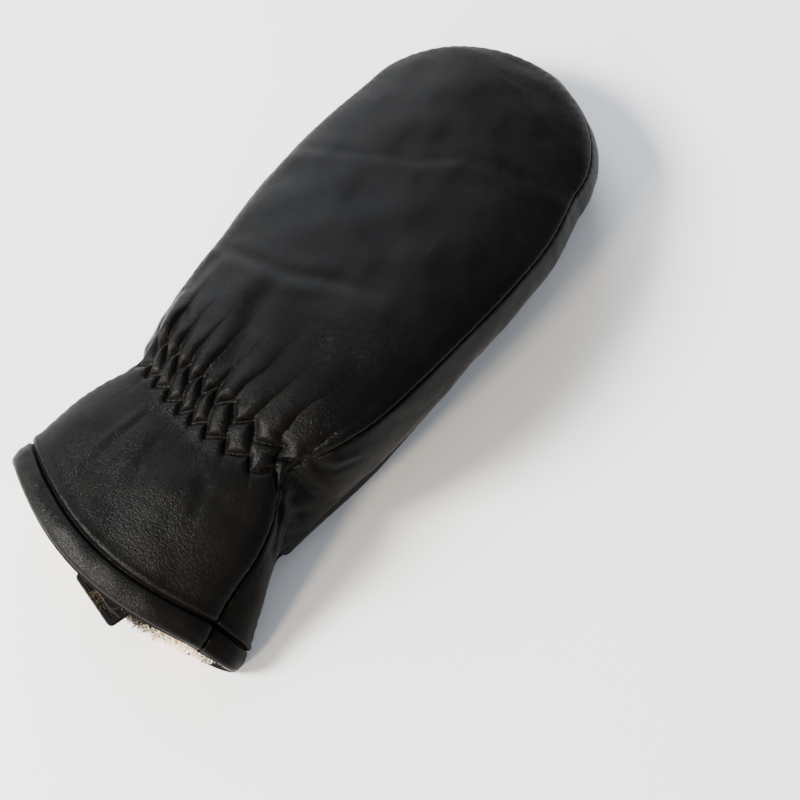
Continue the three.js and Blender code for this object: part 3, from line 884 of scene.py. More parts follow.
@dataclass
class LeatherPanel:
    """A leather panel, gathered at the wrist. Sizes in millimetres."""

    form: MittenForm
    hem: Hem
    name: str
    node: str
    seam: Seam
    rows: tuple[Triple, ...]
    columns: int
    gathers: Gathers
    creases: tuple[Crease, ...]
    crepe: tuple[Triple, ...]
    uneven: tuple[tuple[float, float, int], ...]
    edge_fade: float
    tip_end: float
    hem_waver: float
    drawn_in_at: float
    seed: int
    roll: SeamRoll = SeamRoll()
    sheet: Sheet | None = None

    def laid(self, along: Array, across: Array, inset: Array | float = 0.0) -> Array:
        """Returns points on the panel's side of the mitten."""
        surface = self.form.back if self.seam is Seam.BACK else self.form.palm
        return surface(along, across, inset)

    def half_width(self, along: Array) -> Array:
        """Works out half the panel's width in plan.

        Args:
            along: Distances from the cuff's edge.

        Returns:
            Half the width at each, and never nothing.
        """
        left = self.form.seam_point(along, Side.FINGERS, self.seam)
        right = self.form.seam_point(along, Side.THUMB, self.seam)
        return np.maximum((right - left)[..., 0] / 2, 0.5)

    def drawn_wrinkles(self, along: Array, across: Array) -> Array:
        """Returns how strongly fine wrinkles show beside the gathers."""
        return 0.8 * bell(along - self.gathers.seam_low(self.gathers.upper, across) - 4, 14)

    def surface(self) -> tuple[Sheet, Array]:
        """Works out the outside of the leather.

        Returns:
            The sheet, and how strongly fine wrinkles show at each point.
        """
        stops = steps(*self.rows)
        columns = edge_wise(self.columns)
        along, across = grid_of(stops, columns)
        turn = 1.0 if self.seam is Seam.BACK else -1.0
        base = Sheet.through(stops, columns, self.laid(along, across), turn)
        half_width = self.half_width(along)
        height = self.hem.height(along)
        height += self.hem_waver * ripple(base.points, 15, 9) * bell(along - self.hem.width / 2, 4.5)
        height += self.gathers.height(along, across, half_width)
        height += sum(crease.height(along, across, half_width) for crease in self.creases)
        inner = np.clip((1 - np.abs(across)) / self.edge_fade, 0, 1) * np.clip(along / 18, 0.15, 1)
        inner *= np.clip((self.tip_end - along) / 20, 0, 1)
        height += inner * sum(tall * ripple(base.points, length, seed) for tall, length, seed in self.uneven)
        height += self.roll.height(base.points, seam_line(self.form, self.seam), self.seed)
        wrinkled = sum(bell(np.hypot(along - a, (across - t) * half_width), r) for a, t, r in self.crepe)
        return base.raised(height), np.clip(wrinkled + self.drawn_wrinkles(along, across), 0, 1)

    def inside(self) -> Array:
        """Works out the inside of the leather, which the gathers draw in.

        Returns:
            The points, rows by columns by 3.
        """
        stops = steps((0, 3, 0.6), (3, 16, 1.5), (16, 230, 7), (230, 304.3, 5))
        along, across = grid_of(stops, edge_wise(25))
        drawn_in = 0.7 * bell(along - self.drawn_in_at, 12)
        return self.laid(along, across, self.hem.depth(along) + drawn_in)

    def build(self, leather: Material) -> Piece:
        """Builds the panel and dresses it, and keeps its outside for what is sewn to it.

        Args:
            leather: Its material.

        Returns:
            The piece.
        """
        self.sheet, wrinkles = self.surface()
        flip = self.seam is Seam.PALM
        return leather_piece(self.name, self.sheet, self.inside(), flip, wrinkles, leather, self.node)


@dataclass
class BackPanel(LeatherPanel):
    """The back of the hand, gathered at the wrist by two zigzag rows."""

    name: str = "back_leather"
    node: str = "back_panel"
    seam: Seam = Seam.BACK
    rows: tuple[Triple, ...] = (
        (0, 3, 0.4), (3, 10, 1), (10, 16, 0.4), (16, 46, 1.4), (46, 104, 0.62), (104, 230, 1.9),
        (230, 304.3, 1.4))
    columns: int = 290
    gathers: Gathers = Gathers(
        folds=(-1.06, -0.865, -0.71, -0.525, -0.335, -0.155, 0.02, 0.25, 0.515, 0.80, 1.1),
        upper=((-1, 74.6), (0, 75.6), (0.25, 74.6), (0.52, 73.4), (0.8, 71.3), (1, 71.5)),
        lower=((-1, 66.4), (0, 66), (0.25, 65.2), (0.52, 64.3), (0.8, 63.3), (1, 64)),
    )
    creases: tuple[Crease, ...] = (
        Crease(((126, -1.3), (124, -0.9), (126, -0.66), (128, -0.3), (135.5, 0.03), (140, 0.36),
                (143.5, 0.8)), 2.8, 0.55, 0.34),
        Crease(((125, -0.335), (111, -0.355), (92, -0.19), (81, -0.075)), 4.5, 0.8, 0.3),
        Crease(((123, -0.82), (117, -0.93), (98, -0.94), (89, -0.755), (83, -0.575)), 3.0, 0.7, 0.2),
        Crease(((176, -1.2), (187, -0.665), (201, -0.135), (212, 0.095), (218, 0.435), (229, 1.2)),
               2.6, 0.34, 0.24),
        Crease(((63, -0.46), (51, -0.445), (40, -0.465), (31.5, -0.47), (19, -0.45)), 1.5, 0.32, 0.34),
        Crease(((56, -0.2), (44, -0.16), (34, -0.1)), 3.0, 0.45),
        Crease(((55, 0.35), (46, 0.42), (36, 0.5)), 3.0, 0.4),
        Crease(((206, 0.55), (196, 0.75), (180, 0.9)), 2.5, 0.3),
        Crease(((172, -0.5), (166, 0.0), (168, 0.4)), 9.0, 0.45),
    )
    crepe: tuple[Triple, ...] = (
        (24, 0.15, 15), (24, 0.55, 13), (20, 0.88, 9), (36, 0.2, 10), (30, -0.6, 9), (116, 0.35, 12),
        (126, 0.5, 12), (132, 0.75, 10), (92, 0.7, 9), (84, 0.9, 7), (46, -0.35, 8))
    uneven: tuple[tuple[float, float, int], ...] = ((0.75, 62, 3), (0.30, 24, 4), (0.07, 8, 6))
    edge_fade: float = 0.12
    tip_end: float = 300.0
    hem_waver: float = 0.4
    drawn_in_at: float = 70.0
    seed: int = 8


@dataclass
class PalmPanel(LeatherPanel):
    """The palm, gathered by one zigzag row, arching over the folded thumb."""

    name: str = "palm_leather"
    node: str = "palm_panel"
    seam: Seam = Seam.PALM
    rows: tuple[Triple, ...] = (
        (0, 3, 0.4), (3, 10, 1), (10, 16, 0.4), (16, 40, 1.4), (40, 92, 0.8), (92, 230, 2.2),
        (230, 304.3, 1.6))
    columns: int = 230
    gathers: Gathers = Gathers(
        folds=tuple(np.linspace(-1.1, 1.1, 12)),
        upper=((-1, 62), (0, 62.5), (1, 61.5)),
        lean=((44, 0.5), (54, 0.35), (62, 0.0), (67, -0.4), (76, -0.6), (90, -0.7)),
        tooth=4.4, hand_puff=1.8, cuff_puff=1.2, reach=8.0, seed=12)
    creases: tuple[Crease, ...] = (
        Crease(((150, -0.9), (146, -0.4), (150, 0.1)), 5.0, 0.6, 0.4),
        Crease(((196, -0.7), (201, 0.0), (197, 0.6)), 6.0, 0.5, 0.3),
        Crease(((40, -0.4), (30, -0.45), (20, -0.4)), 2.0, 0.4),
    )
    crepe: tuple[Triple, ...] = (
        (70, -0.7, 10), (90, 0.8, 12), (110, 0.85, 12), (140, -0.5, 14), (200, 0, 14), (28, 0.2, 12))
    uneven: tuple[tuple[float, float, int], ...] = ((0.45, 48, 13), (0.22, 20, 14), (0.07, 8, 16))
    edge_fade: float = 0.1
    tip_end: float = 298.0
    hem_waver: float = 0.0
    drawn_in_at: float = 64.0
    seed: int = 18

    def drawn_wrinkles(self, along: Array, across: Array) -> Array:
        """Returns how strongly fine wrinkles show beside the gathers, the same all across."""
        return 0.7 * bell(along - 66, 12) + 0 * across


@dataclass
class SideStrip:
    """The strip between the two seams, up the fingers' side, round the tip and down the thumb's."""

    form: MittenForm
    hem: Hem
    roll: SeamRoll = SeamRoll(depth=1.0, width=1.8, pucker=0.14)
    columns: int = 44
    fingers_folds: float = 0.7
    creases: tuple[Crease, ...] = (
        Crease(((70.5, 1.0), (75.5, 0.36), (82, -0.7)), 1.6, 1.2, 0.7),
        Crease(((66.5, 1.0), (61, 0.7), (55, 0.5), (47, 0.4)), 2.2, 1.2, 0.5),
        Crease(((77, 1.0), (83, 0.5), (92, 0.3)), 1.3, 0.6, 0.4),
        Crease(((62, -0.9), (66, -0.2), (64, 0.4)), 2.0, 0.9, 0.4),
        Crease(((104, 0.9), (118, 0.2), (131, -0.1)), 2.4, 0.35, 0.2),
    )

    def laid(self, stops: Array, up: Array, deep: bool = False) -> Array:
        """Places the strip's points.

        Args:
            stops: Distances from the cuff's edge.
            up: Places from 0 at the palm seam to 1 at the back seam.
            deep: True for the leather's inside, False for the form's outside.

        Returns:
            The points, rows up the fingers' side and down the thumb's, by columns by 3.
        """
        along, place = grid_of(stops, up)
        inset = self.hem.depth(along) if deep else 0.0
        fingers, thumb = (self.form.strip(along, side, place, inset) for side in (Side.FINGERS, Side.THUMB))
        return np.concatenate([fingers[:-1], thumb[::-1]])

    def surface(self) -> tuple[Sheet, Array]:
        """Works out the outside of the leather.

        Returns:
            The sheet, and how strongly fine wrinkles show at each point.
        """
        stops = steps((0, 3, 0.4), (3, 10, 1), (10, 16, 0.4), (16, 46, 1.4), (46, 104, 0.7),
                      (104, 230, 1.8), (230, 305, 1.5))
        up = (edge_wise(self.columns) + 1) / 2
        points = self.laid(stops, up)
        base = Sheet.through(np.arange(len(points), dtype=float), up, points, 1.0)
        along, place = grid_of(np.concatenate([stops[:-1], stops[::-1]]), up)
        across = 2 * place - 1
        width = np.linalg.norm(points[:, -1] - points[:, 0], axis=-1)[:, None]
        half_width = np.broadcast_to(width / 2, across.shape)
        height = self.hem.height(along)
        folds = sum(crease.height(along, across, half_width) for crease in self.creases)
        by_fingers = np.arange(len(points)) < len(stops) - 1
        height += folds * np.where(by_fingers, self.fingers_folds, 1.0)[:, None]
        inner = np.clip((1 - np.abs(across)) / 0.3, 0, 1) * np.clip(along / 18, 0.15, 1)
        height += inner * (0.4 * ripple(base.points, 30, 23) + 0.16 * ripple(base.points, 11, 24))
        height += inner * bell(along - 69, 9) * (0.55 * ripple(base.points, 7, 26) - 0.4)
        height += self.roll.height(base.points, seam_line(self.form, Seam.BACK), 28)
        height += self.roll.height(base.points, seam_line(self.form, Seam.PALM), 29)
        wrinkled = bell(np.hypot(along - 75, (across - 0.6) * half_width), 9) + 0.5 * bell(along - 70, 16)
        return base.raised(height), np.clip(wrinkled, 0, 1)

    def build(self, leather: Material) -> Piece:
        """Builds the strip and dresses it.

        Args:
            leather: Its material.

        Returns:
            The piece.
        """
        sheet, wrinkles = self.surface()
        stops = steps((0, 3, 0.6), (3, 16, 1.5), (16, 230, 7), (230, 305, 5))
        inside = self.laid(stops, np.linspace(0, 1, 7), deep=True)
        return leather_piece("strip_leather", sheet, inside, False, wrinkles, leather, "side_strip")


THUMB_COLUMNS = ("from_root", "aside", "rise", "width", "thick")
THUMB_SECTIONS = (
    (-24, 21, 27, 30, 1.3),
    (-14, 15, 21, 38, 1.4),
    (-3, 7, 13.8, 48, 1.3),
    (9, 2, 8.8, 55, 1.06),
    (24, 0, 7.8, 56, 1),
    (42, 0, 7.8, 53, 1),
    (60, 0, 7.8, 49, 1),
    (76, 0, 7.8, 45, 1),
    (90, 0, 7.6, 37, 0.96),
    (99, 0, 7.0, 26, 0.84),
    (104, 0, 6.2, 14, 0.6),
    (105.6, 0, 5.9, 7, 0.38),
    (106.2, 0, 5.8, 1, 0.12),
)


@dataclass
class Thumb:
    """The thumb, folded flat under the palm, in two halves that a slanting seam joins."""

    root: Pair = (29.0, 92.0)
    turn: float = math.radians(26)
    high: float = 16.4
    square: float = 0.8
    seam_from: float = 45.0
    seam_height: float = 8.6
    seam_tilt: float = math.radians(9)
    seam_depth: float = 1.1
    seam_width: float = 1.8
    pucker: float = 0.16
    middle: Triple = (45.0, 0.0, 8.0)
    leather: float = 1.4
    buried: float = 1.3
    sides: int = 150
    chart: Chart = Chart(THUMB_COLUMNS, THUMB_SECTIONS)

    def place(self, from_root: Array | float, aside: Array | float, height: Array | float) -> Array:
        """Places points given from the thumb's root.

        Args:
            from_root: Distances along its axis.
            aside: Distances across its axis.
            height: Heights above the floor.

        Returns:
            The points, with a last axis of 3.
        """
        sine, cosine = math.sin(self.turn), math.cos(self.turn)
        x = self.root[0] - from_root * sine + aside * cosine
        y = self.root[1] + from_root * cosine + aside * sine
        return np.stack(np.broadcast_arrays(x, y, height), axis=-1)

    def squared(self, value: Array) -> Array:
        """Returns a sine or cosine pulled out towards a squarer section."""
        return np.sign(value) * np.abs(value) ** self.square

    def surface(self, inset: float = 0.0, step: float = 0.9, sides: int = 0) -> Sheet:
        """Works out the thumb's smooth outside.

        Args:
            inset: How far in from the leather's outside.
            step: The spacing of the rows.
            sides: The points round the thumb, or 0 for the leather's own count.

        Returns:
            The sheet; its columns run once round.
        """
        sides = sides or self.sides
        stops = steps((-24, 97, step), (97, 106.2, step / 2))
        angle = 2 * np.pi * (np.arange(sides + 2) - 1) / sides
        wide = np.maximum(self.chart.read("width", stops) / 2 - inset, 0.3)[:, None]
        thick = np.maximum(self.high * self.chart.read("thick", stops) / 2 - inset, 0.2)[:, None]
        aside = wide * self.squared(np.cos(angle)) - self.chart.read("aside", stops)[:, None]
        height = self.chart.read("rise", stops)[:, None] + thick * self.squared(np.sin(angle))
        points = self.place(stops[:, None], aside, np.maximum(height, inset))
        sheet = Sheet.through(stops, angle, points, -1.0)
        return Sheet(stops, angle[1:-1], points[:, 1:-1], sheet.outward[:, 1:-1])

    def seam_plane(self) -> tuple[Array, Array]:
        """Works out the plane of the seam.

        Returns:
            A point on it and the way up from it.
        """
        up = np.array([math.sin(-self.seam_tilt) * math.cos(self.turn),
                       math.sin(-self.seam_tilt) * math.sin(self.turn), math.cos(self.seam_tilt)])
        return self.place(self.seam_from, 0.0, self.seam_height), up

    def creased(self) -> Sheet:
        """Works out the thumb's outside with its seam, folds and unevenness.

        Returns:
            The sheet; its columns run once round.
        """
        base = self.surface()
        centre, up = self.seam_plane()
        gap = np.abs((base.points - centre) @ up)
        run = base.along[:, None] + 0 * gap
        wave = np.sin(2 * np.pi * run / 4.8 + ripple(base.points, 25, 31))
        height = -self.seam_depth * rounded(1 - gap / self.seam_width)
        height -= self.pucker * np.exp(-gap / 3) * (1 + wave)
        height += 0.42 * ripple(base.points, 30, 33) + 0.16 * ripple(base.points, 11, 34)
        folds = np.sin(2 * np.pi * (run + 0.25 * (base.points[..., 0] - self.root[0])) / 9.0)
        height += 0.35 * folds * bell(run - 12, 16)
        height *= np.clip((105 - base.along) / 8, 0, 1)[:, None]
        return base.raised(height)

    def half(self, name: str, placed: Array, shown: Array, lower: bool) -> Piece:
        """Builds one half, cut at the seam.

        Args:
            name: The piece's name.
            placed: The whole thumb's points in the frame, rows by columns by 3.
            shown: Which of them don't lie deep in the palm.
            lower: True for the half under the seam.

        Returns:
            The piece.
        """
        work = bmesh.new()
        rows, cols = placed.shape[:2]
        verts = [work.verts.new(point) for point in placed.reshape(-1, 3)]
        for row in range(rows - 1):
            for col in range(cols):
                after = (col + 1) % cols
                if shown[row, col] or shown[row + 1, after]:
                    corners = ((row + 1, col), (row + 1, after), (row, after), (row, col))
                    work.faces.new([verts[r * cols + c] for r, c in corners])
        work.faces.new(verts[(rows - 1) * cols:][::-1])
        centre, up = self.seam_plane()
        bmesh.ops.bisect_plane(work, geom=work.verts[:] + work.edges[:] + work.faces[:],
                               plane_co=(centre + FRAME_SHIFT) * MM, plane_no=up,
                               clear_outer=lower, clear_inner=not lower)
        loose = [vert for vert in work.verts if not vert.link_faces]
        bmesh.ops.delete(work, geom=loose, context="VERTS")
        bmesh.ops.recalc_face_normals(work, faces=work.faces)
        mesh = bpy.data.meshes.new(name)
        work.to_mesh(mesh)
        work.free()
        piece = linked(name, mesh)
        turn_out(piece, Vector((self.place(*self.middle) + FRAME_SHIFT) * MM))
        thicken(piece, self.leather * MM)
        return piece

    def build(self, palm: Sheet, leather: Material) -> list[Piece]:
        """Builds the thumb's two halves, cut where they meet the palm, and dresses them.

        Args:
            palm: The palm's outside.
            leather: Their material.

        Returns:
            The outer half, which lies lowest, and the inner half.
        """
        sheet = self.creased()
        near_points = palm.points[::2, ::2].reshape(-1, 3)
        near_out = palm.outward[::2, ::2].reshape(-1, 3)
        number, _ = nearest(sheet.points, near_points)
        outside = ((sheet.points - near_points[number]) * near_out[number]).sum(-1)
        placed = set_down(sheet.points)
        outer = self.half("thumb_outer_leather", placed, outside > -self.buried, True)
        inner = self.half("thumb_inner_leather", placed, outside > -self.buried, False)
        return [dress(outer, leather, "black_leather", "thumb_outer"),
                dress(inner, leather, "black_leather", "thumb_inner")]


def turn_out(piece: Piece, middle: Vector) -> None:
    """Turns a piece's faces away from a point inside it, if most of them look towards it.

    Args:
        piece: The piece.
        middle: The point, in metres.
    """
    facing = sum(face.area * face.normal.dot(face.center - middle) for face in piece.data.polygons)
    if facing < 0:
        piece.data.flip_normals()


def thicken(piece: Piece, thickness: float) -> None:
    """Gives an open skin its thickness inwards, as plain mesh.

    Args:
        piece: The skin.
        thickness: The thickness, in metres.
    """
    modifier = piece.modifiers.new("thickness", "SOLIDIFY")
    modifier.thickness = thickness
    modifier.offset = -1.0
    shaped = bpy.data.meshes.new_from_object(piece.evaluated_get(bpy.context.evaluated_depsgraph_get()))
    piece.modifiers.clear()
    piece.data = shaped
    shaped.polygons.foreach_set("use_smooth", np.full(len(shaped.polygons), True))


def tubes(skin: Skin, paths: Array, radii: Array, sides: int) -> None:
    """Adds closed round tubes along paths.

    Args:
        skin: Where they go.
        paths: The tubes' points, tubes by rings by 3.
        radii: Their radii, tubes by rings.
        sides: How many sides they have.
    """
    ahead = unit(np.gradient(paths, axis=1))
    helper = np.where(np.abs(ahead[..., 2:3]) < 0.8, np.array([0.0, 0.0, 1.0]), np.array([1.0, 0.0, 0.0]))
    first = unit(np.cross(ahead, helper))
    second = np.cross(ahead, first)
    angle = 2 * np.pi * np.arange(sides) / sides
    ring = first[..., None, :] * np.cos(angle)[:, None] + second[..., None, :] * np.sin(angle)[:, None]
    numbers = skin.add(paths[..., None, :] + ring * radii[..., None, None])
    after = np.roll(numbers, -1, axis=-1)
    quads = np.stack([numbers[:, :-1], after[:, :-1], after[:, 1:], numbers[:, 1:]], axis=-1)
    skin.faces += [quads.reshape(-1, 4), numbers[:, 0, ::-1], numbers[:, -1]]


@dataclass(frozen=True)
class Stitching:
    """Rows of thread on a leather surface. Sizes in millimetres."""

    length: float = 1.9
    gap: float = 0.6
    radius: float = 0.22
    proud: float = -0.02
    dip: float = 0.45
    first: float = 0.3
    finely: int = 60
    sides: int = 6
    taper: tuple[float, ...] = (0.7, 1.0, 1.05, 1.0, 0.7)

    def along_line(self, sheet: Sheet, line: Array) -> Array:
        """Lays stitches along a line on a sheet.

        Args:
            sheet: The sheet.
            line: The line's corners, as distance along and place across.

        Returns:
            The stitches' paths, stitches by rings by 3.
        """
        corners = np.arange(len(line))
        share = np.linspace(0, len(line) - 1, self.finely * (len(line) - 1) + 1)
        points, outward = sheet.place(np.interp(share, corners, line[:, 0]),
                                      np.interp(share, corners, line[:, 1]))
        run = run_of(points)
        starts = np.arange(self.first, run[-1] - self.length, self.length + self.gap)
        parts = np.linspace(0, 1, len(self.taper))
        arch = self.proud - (self.dip + self.proud) * np.abs(2 * parts - 1) ** 3
        at = starts[:, None] + self.length * parts
        place = np.stack([np.interp(at, run, points[:, axis]) for axis in range(3)], axis=-1)
        way = np.stack([np.interp(at, run, outward[:, axis]) for axis in range(3)], axis=-1)
        return place + way * arch[:, None]

    def sewn(self, name: str, runs: list[tuple[Sheet, Array]], thread: Material) -> Piece:
        """Builds a piece of thread from several rows and dresses it.

        Args:
            name: The piece's name.
            runs: Each row's sheet and line.
            thread: Its material.

        Returns:
            The piece.
        """
        skin = Skin()
        for sheet, line in runs:
            paths = self.along_line(sheet, line)
            radii = np.broadcast_to(self.radius * np.array(self.taper), paths.shape[:2])
            tubes(skin, set_down(paths), radii * MM, self.sides)
        return dress(skin.mesh(name), thread, "black_leather")

    def build(self, back: BackPanel, palm: PalmPanel, thread: Material) -> list[Piece]:
        """Sews the zigzag rows and the hem of both panels.

        Args:
            back: The back, once it is built.
            palm: The palm, once it is built.
            thread: The thread's material.

        Returns:
            The zigzag rows' thread and the hem's.
        """
        zigzags = [(back.sheet, back.gathers.stitch_line(back.gathers.upper)),
                   (back.sheet, back.gathers.stitch_line(back.gathers.lower)),
                   (palm.sheet, palm.gathers.stitch_line(palm.gathers.upper))]
        hems = [(panel.sheet, panel.hem.stitch_line()) for panel in (back, palm)]
        return [self.sewn("zigzag_thread", zigzags, thread), self.sewn("hem_thread", hems, thread)]


class Layer(Enum):
    """A face of the lining."""

    SKIN = "the skin's side, against the leather"
    PILE = "the wool's side, against the hand"


@dataclass(frozen=True)
class WoolHalf:
    """One half of the lining, under the back or over the palm. Sizes in millimetres."""

    name: str
    node: str
    back: bool
    seed: int
    start: float
    locks_from: float
    crowding: float
    up_at_mouth: float
    pressed_at_mouth: float

    @property
    def turn(self) -> float:
        """Returns 1 under the back, and -1 over the palm."""
        return 1.0 if self.back else -1.0


BACK_WOOL = WoolHalf("back_wool", "lining_back", back=True, seed=41, start=2.6, locks_from=3.8,
                     crowding=2.2, up_at_mouth=-0.6, pressed_at_mouth=0.0)
PALM_WOOL = WoolHalf("palm_wool", "lining_palm", back=False, seed=47, start=0.8, locks_from=0.6,
                     crowding=3.0, up_at_mouth=0.6, pressed_at_mouth=1.5)


@dataclass
class Sheepskin:
    """The lining's skin and the wool on it. Sizes in millimetres."""

    form: MittenForm
    hem: Hem
    skin_depth: float = 3.0
    pile_depth: float = 6.3
    leather: float = 1.6
    half_gap: float = 0.2
    skin_columns: int = 34
    pile_columns: int = 60
    lock_count: int = 8900
    lock_length: float = 7.6
    lock_radius: float = 0.32
    lock_taper: tuple[float, ...] = (1.1, 1.0, 0.7, 0.14)
    lock_sides: int = 3
    lock_lengths: Pair = (0.6, 1.1)
    lock_widths: Pair = (0.6, 1.25)
    lock_lean: float = 0.36
    lock_curl: float = 0.34
    lock_wave: float = 0.07
    lock_rooted: float = 0.8
    reach: float = 62.0
    thumb_depths: Pair = (3.1, 5.6)
    thumb_reach: Pair = (16.0, 100.0)
    thumb_sides: int = 44

    def layer(self, back: bool, layer: Layer, stops: Array) -> Array:
        """Places the points of one face of one half.

        Args:
            back: True for the half under the back, False for the one over the palm.
            layer: The face.
            stops: The rows' distances along.

        Returns:
            The points, rows by columns by 3.
        """
        columns = self.skin_columns if layer is Layer.SKIN else self.pile_columns
        along, across = grid_of(stops, edge_wise(columns))
        skin = self.hem.depth(along) + self.skin_depth - self.leather
        depth = skin if layer is Layer.SKIN else np.maximum(skin + 0.6, self.pile_depth)
        surface = self.form.back if back else self.form.palm
        lift = np.array([0, 0, self.half_gap if back else -self.half_gap])
        middle_up = np.full(stops.shape, 0.5)
        fingers, thumb = ((self.form.strip(stops, side, middle_up, depth[:, 0]) + lift)[:, None]
                          for side in (Side.FINGERS, Side.THUMB))
        return np.concatenate([fingers, surface(along, across, depth), thumb], axis=1)

    def face(self, half: WoolHalf, stops: Array) -> Sheet:
        """Works out the lumpy face that the locks stand on.

        Args:
            half: The half.
            stops: The rows' distances along.

        Returns:
            The sheet.
        """
        points = self.layer(half.back, Layer.PILE, stops)
        sheet = Sheet.through(stops, np.linspace(-1, 1, points.shape[1]), points, half.turn)
        lumps = 0.5 * ripple(points, 6, half.seed) + 0.35 * ripple(points, 2.8, half.seed + 1)
        lumps -= half.pressed_at_mouth * bell(stops - 3.5, 3.5)[:, None]
        return sheet.raised(lumps * np.clip((302 - stops) / 25, 0, 1)[:, None])

    @staticmethod
    def dye_and_shade_share(along: Array, across: Array) -> Array:
        """Returns how much of the leather's black dye the wool took at the mouth, with painted shade from the
        hem that makes it darkest by the tab.
        """
        share = 1.3 * bell(across - 0.2, 0.13) + 0.8 * bell(across - 0.86, 0.07)
        return bell(along, 6) * np.minimum(share, 1)

    def locks(self, half: WoolHalf, sheet: Sheet, along: Array, across: Array,
              rng: np.random.Generator) -> tuple[Array, Array]:
        """Curls a lock up from each place on the face.

        Args:
            half: The half.
            sheet: The face.
            along: The locks' distances along.
            across: The locks' places across.
            rng: What draws their lean, bend, length and thickness.

        Returns:
            The locks' paths, locks by rings by 3, and their radii, locks by rings.
        """
        count = len(along)
        root, outward = sheet.place(along, across)
        facing = self.layer(not half.back, Layer.PILE, sheet.along)
        other = Sheet.through(sheet.along, sheet.across, facing, -half.turn)
        room = np.linalg.norm(other.place(along, across)[0] - root, axis=-1)
        lean = rng.normal(scale=self.lock_lean, size=(count, 3)).clip(-0.7, 0.7)
        to_mouth = np.array([0.0, -1.0, 0.0]) * (half.up_at_mouth * bell(along, 6))[:, None]
        way = unit(-outward * 0.9 + to_mouth + lean)
        bend = rng.normal(size=(count, 3))
        bend = unit(bend - way * (bend * way).sum(-1, keepdims=True))
        length = self.lock_length * rng.uniform(*self.lock_lengths, count)
        length = length * (0.6 + 0.4 * np.clip(along / 16, 0, 1))
        length = np.minimum(length, 0.5 * room)[:, None]
        share = np.linspace(0, 1, len(self.lock_taper))
        curl = self.lock_curl * share ** 2 + self.lock_wave * np.sin(2 * np.pi * share)
        paths = root[:, None] + way[:, None] * (length * share)[..., None] * 0.93
        paths = paths + bend[:, None] * (length * curl)[..., None] + outward[:, None] * self.lock_rooted
        radius = self.lock_radius * rng.uniform(*self.lock_widths, count) * (1 + 0.55 * bell(along, 7))
        return paths, radius[:, None] * np.array(self.lock_taper)

    def half(self, half: WoolHalf, wool: Material) -> Piece:
        """Builds one half of the lining with its wool and dresses it.

        Args:
            half: The half.
            wool: Its material, which reads what the points know: how far up a lock they are, the lock's
                tone, and how much dye and painted shade it has.

        Returns:
            The piece.
        """
        stops = steps((half.start, 12, 1.6), (12, 110, 3), (110, 230, 8), (230, 302, 5))
        outside = self.layer(half.back, Layer.SKIN, stops)
        sheet = self.face(half, stops)
        skin = Skin()
        skin.wall(set_down(outside), set_down(sheet.points), flip=not half.back)
        base_count = skin.count
        count = self.lock_count
        rng = np.random.default_rng(half.seed)
        along = half.locks_from + self.reach * rng.random(count) ** half.crowding
        across = rng.uniform(-0.97, 0.97, count)
        paths, radii = self.locks(half, sheet, along, across, rng)
        tubes(skin, set_down(paths), radii * MM, self.lock_sides)
        piece = skin.mesh(half.name)
        share = np.repeat(np.linspace(0, 1, len(self.lock_taper)), self.lock_sides)
        # Dye at the mouth and painted shade from the hem by the tab, for the skin, the pile's face and the
        # locks
        dye_and_shade_shares = [self.dye_and_shade_share(*grid_of(stops, np.linspace(-1, 1, columns))).reshape(-1)
                  for columns in (outside.shape[1], sheet.points.shape[1])]
        tones = np.repeat(rng.random(count), share.size)
        dye_and_shade_shares.append(np.repeat(self.dye_and_shade_share(along, across + 0.05 * rng.normal(size=count)), share.size))
        mark(piece,
             up_the_pile=np.concatenate([np.full(base_count, 0.15), np.tile(share, count)]),
             lock_tone=np.concatenate([np.full(base_count, 0.5), tones]),
             near_mouth=np.concatenate(dye_and_shade_shares))
        return dress(piece, wool, "sheepskin_fur", half.node)

    def thumb_lining(self, thumb: Thumb, wool: Material) -> Piece:
        """Builds the thumb's lining, which doesn't show, and dresses it.

        Args:
            thumb: The thumb that it lines.
            wool: Its material.

        Returns:
            The piece.
        """
        outer, inner = (thumb.surface(depth, 3.0, self.thumb_sides) for depth in self.thumb_depths)
        inner = inner.raised(0.3 * ripple(inner.points, 5, 71))
        kept = (outer.along > self.thumb_reach[0]) & (outer.along < self.thumb_reach[1])
        skin = Skin()
        grids = []
        for sheet in (outer, inner):
            numbers = skin.add(set_down(sheet.points[kept]))
            grids.append(np.concatenate([numbers, numbers[:, :1]], axis=1))
        out, back = grids
        skin.quads(out, flip=True)
        skin.quads(back)
        skin.band(back[0], out[0], flip=True)
        skin.faces += [out[-1:, :-1][:, ::-1], back[-1:, :-1]]
        piece = skin.mesh("thumb_wool")
        mark(piece, up_the_pile=np.full(skin.count, 0.6), lock_tone=np.full(skin.count, 0.5),
             near_mouth=np.zeros(skin.count))
        return dress(piece, wool, "sheepskin_fur", "lining_thumb")

    def build(self, thumb: Thumb, wool: Material) -> list[Piece]:
        """Builds the whole lining.

        Args:
            thumb: The thumb that it lines too.
            wool: Its material.

        Returns:
            The halves under the back and over the palm, and the thumb's lining.
        """
        return [self.half(BACK_WOOL, wool), self.half(PALM_WOOL, wool), self.thumb_lining(thumb, wool)]


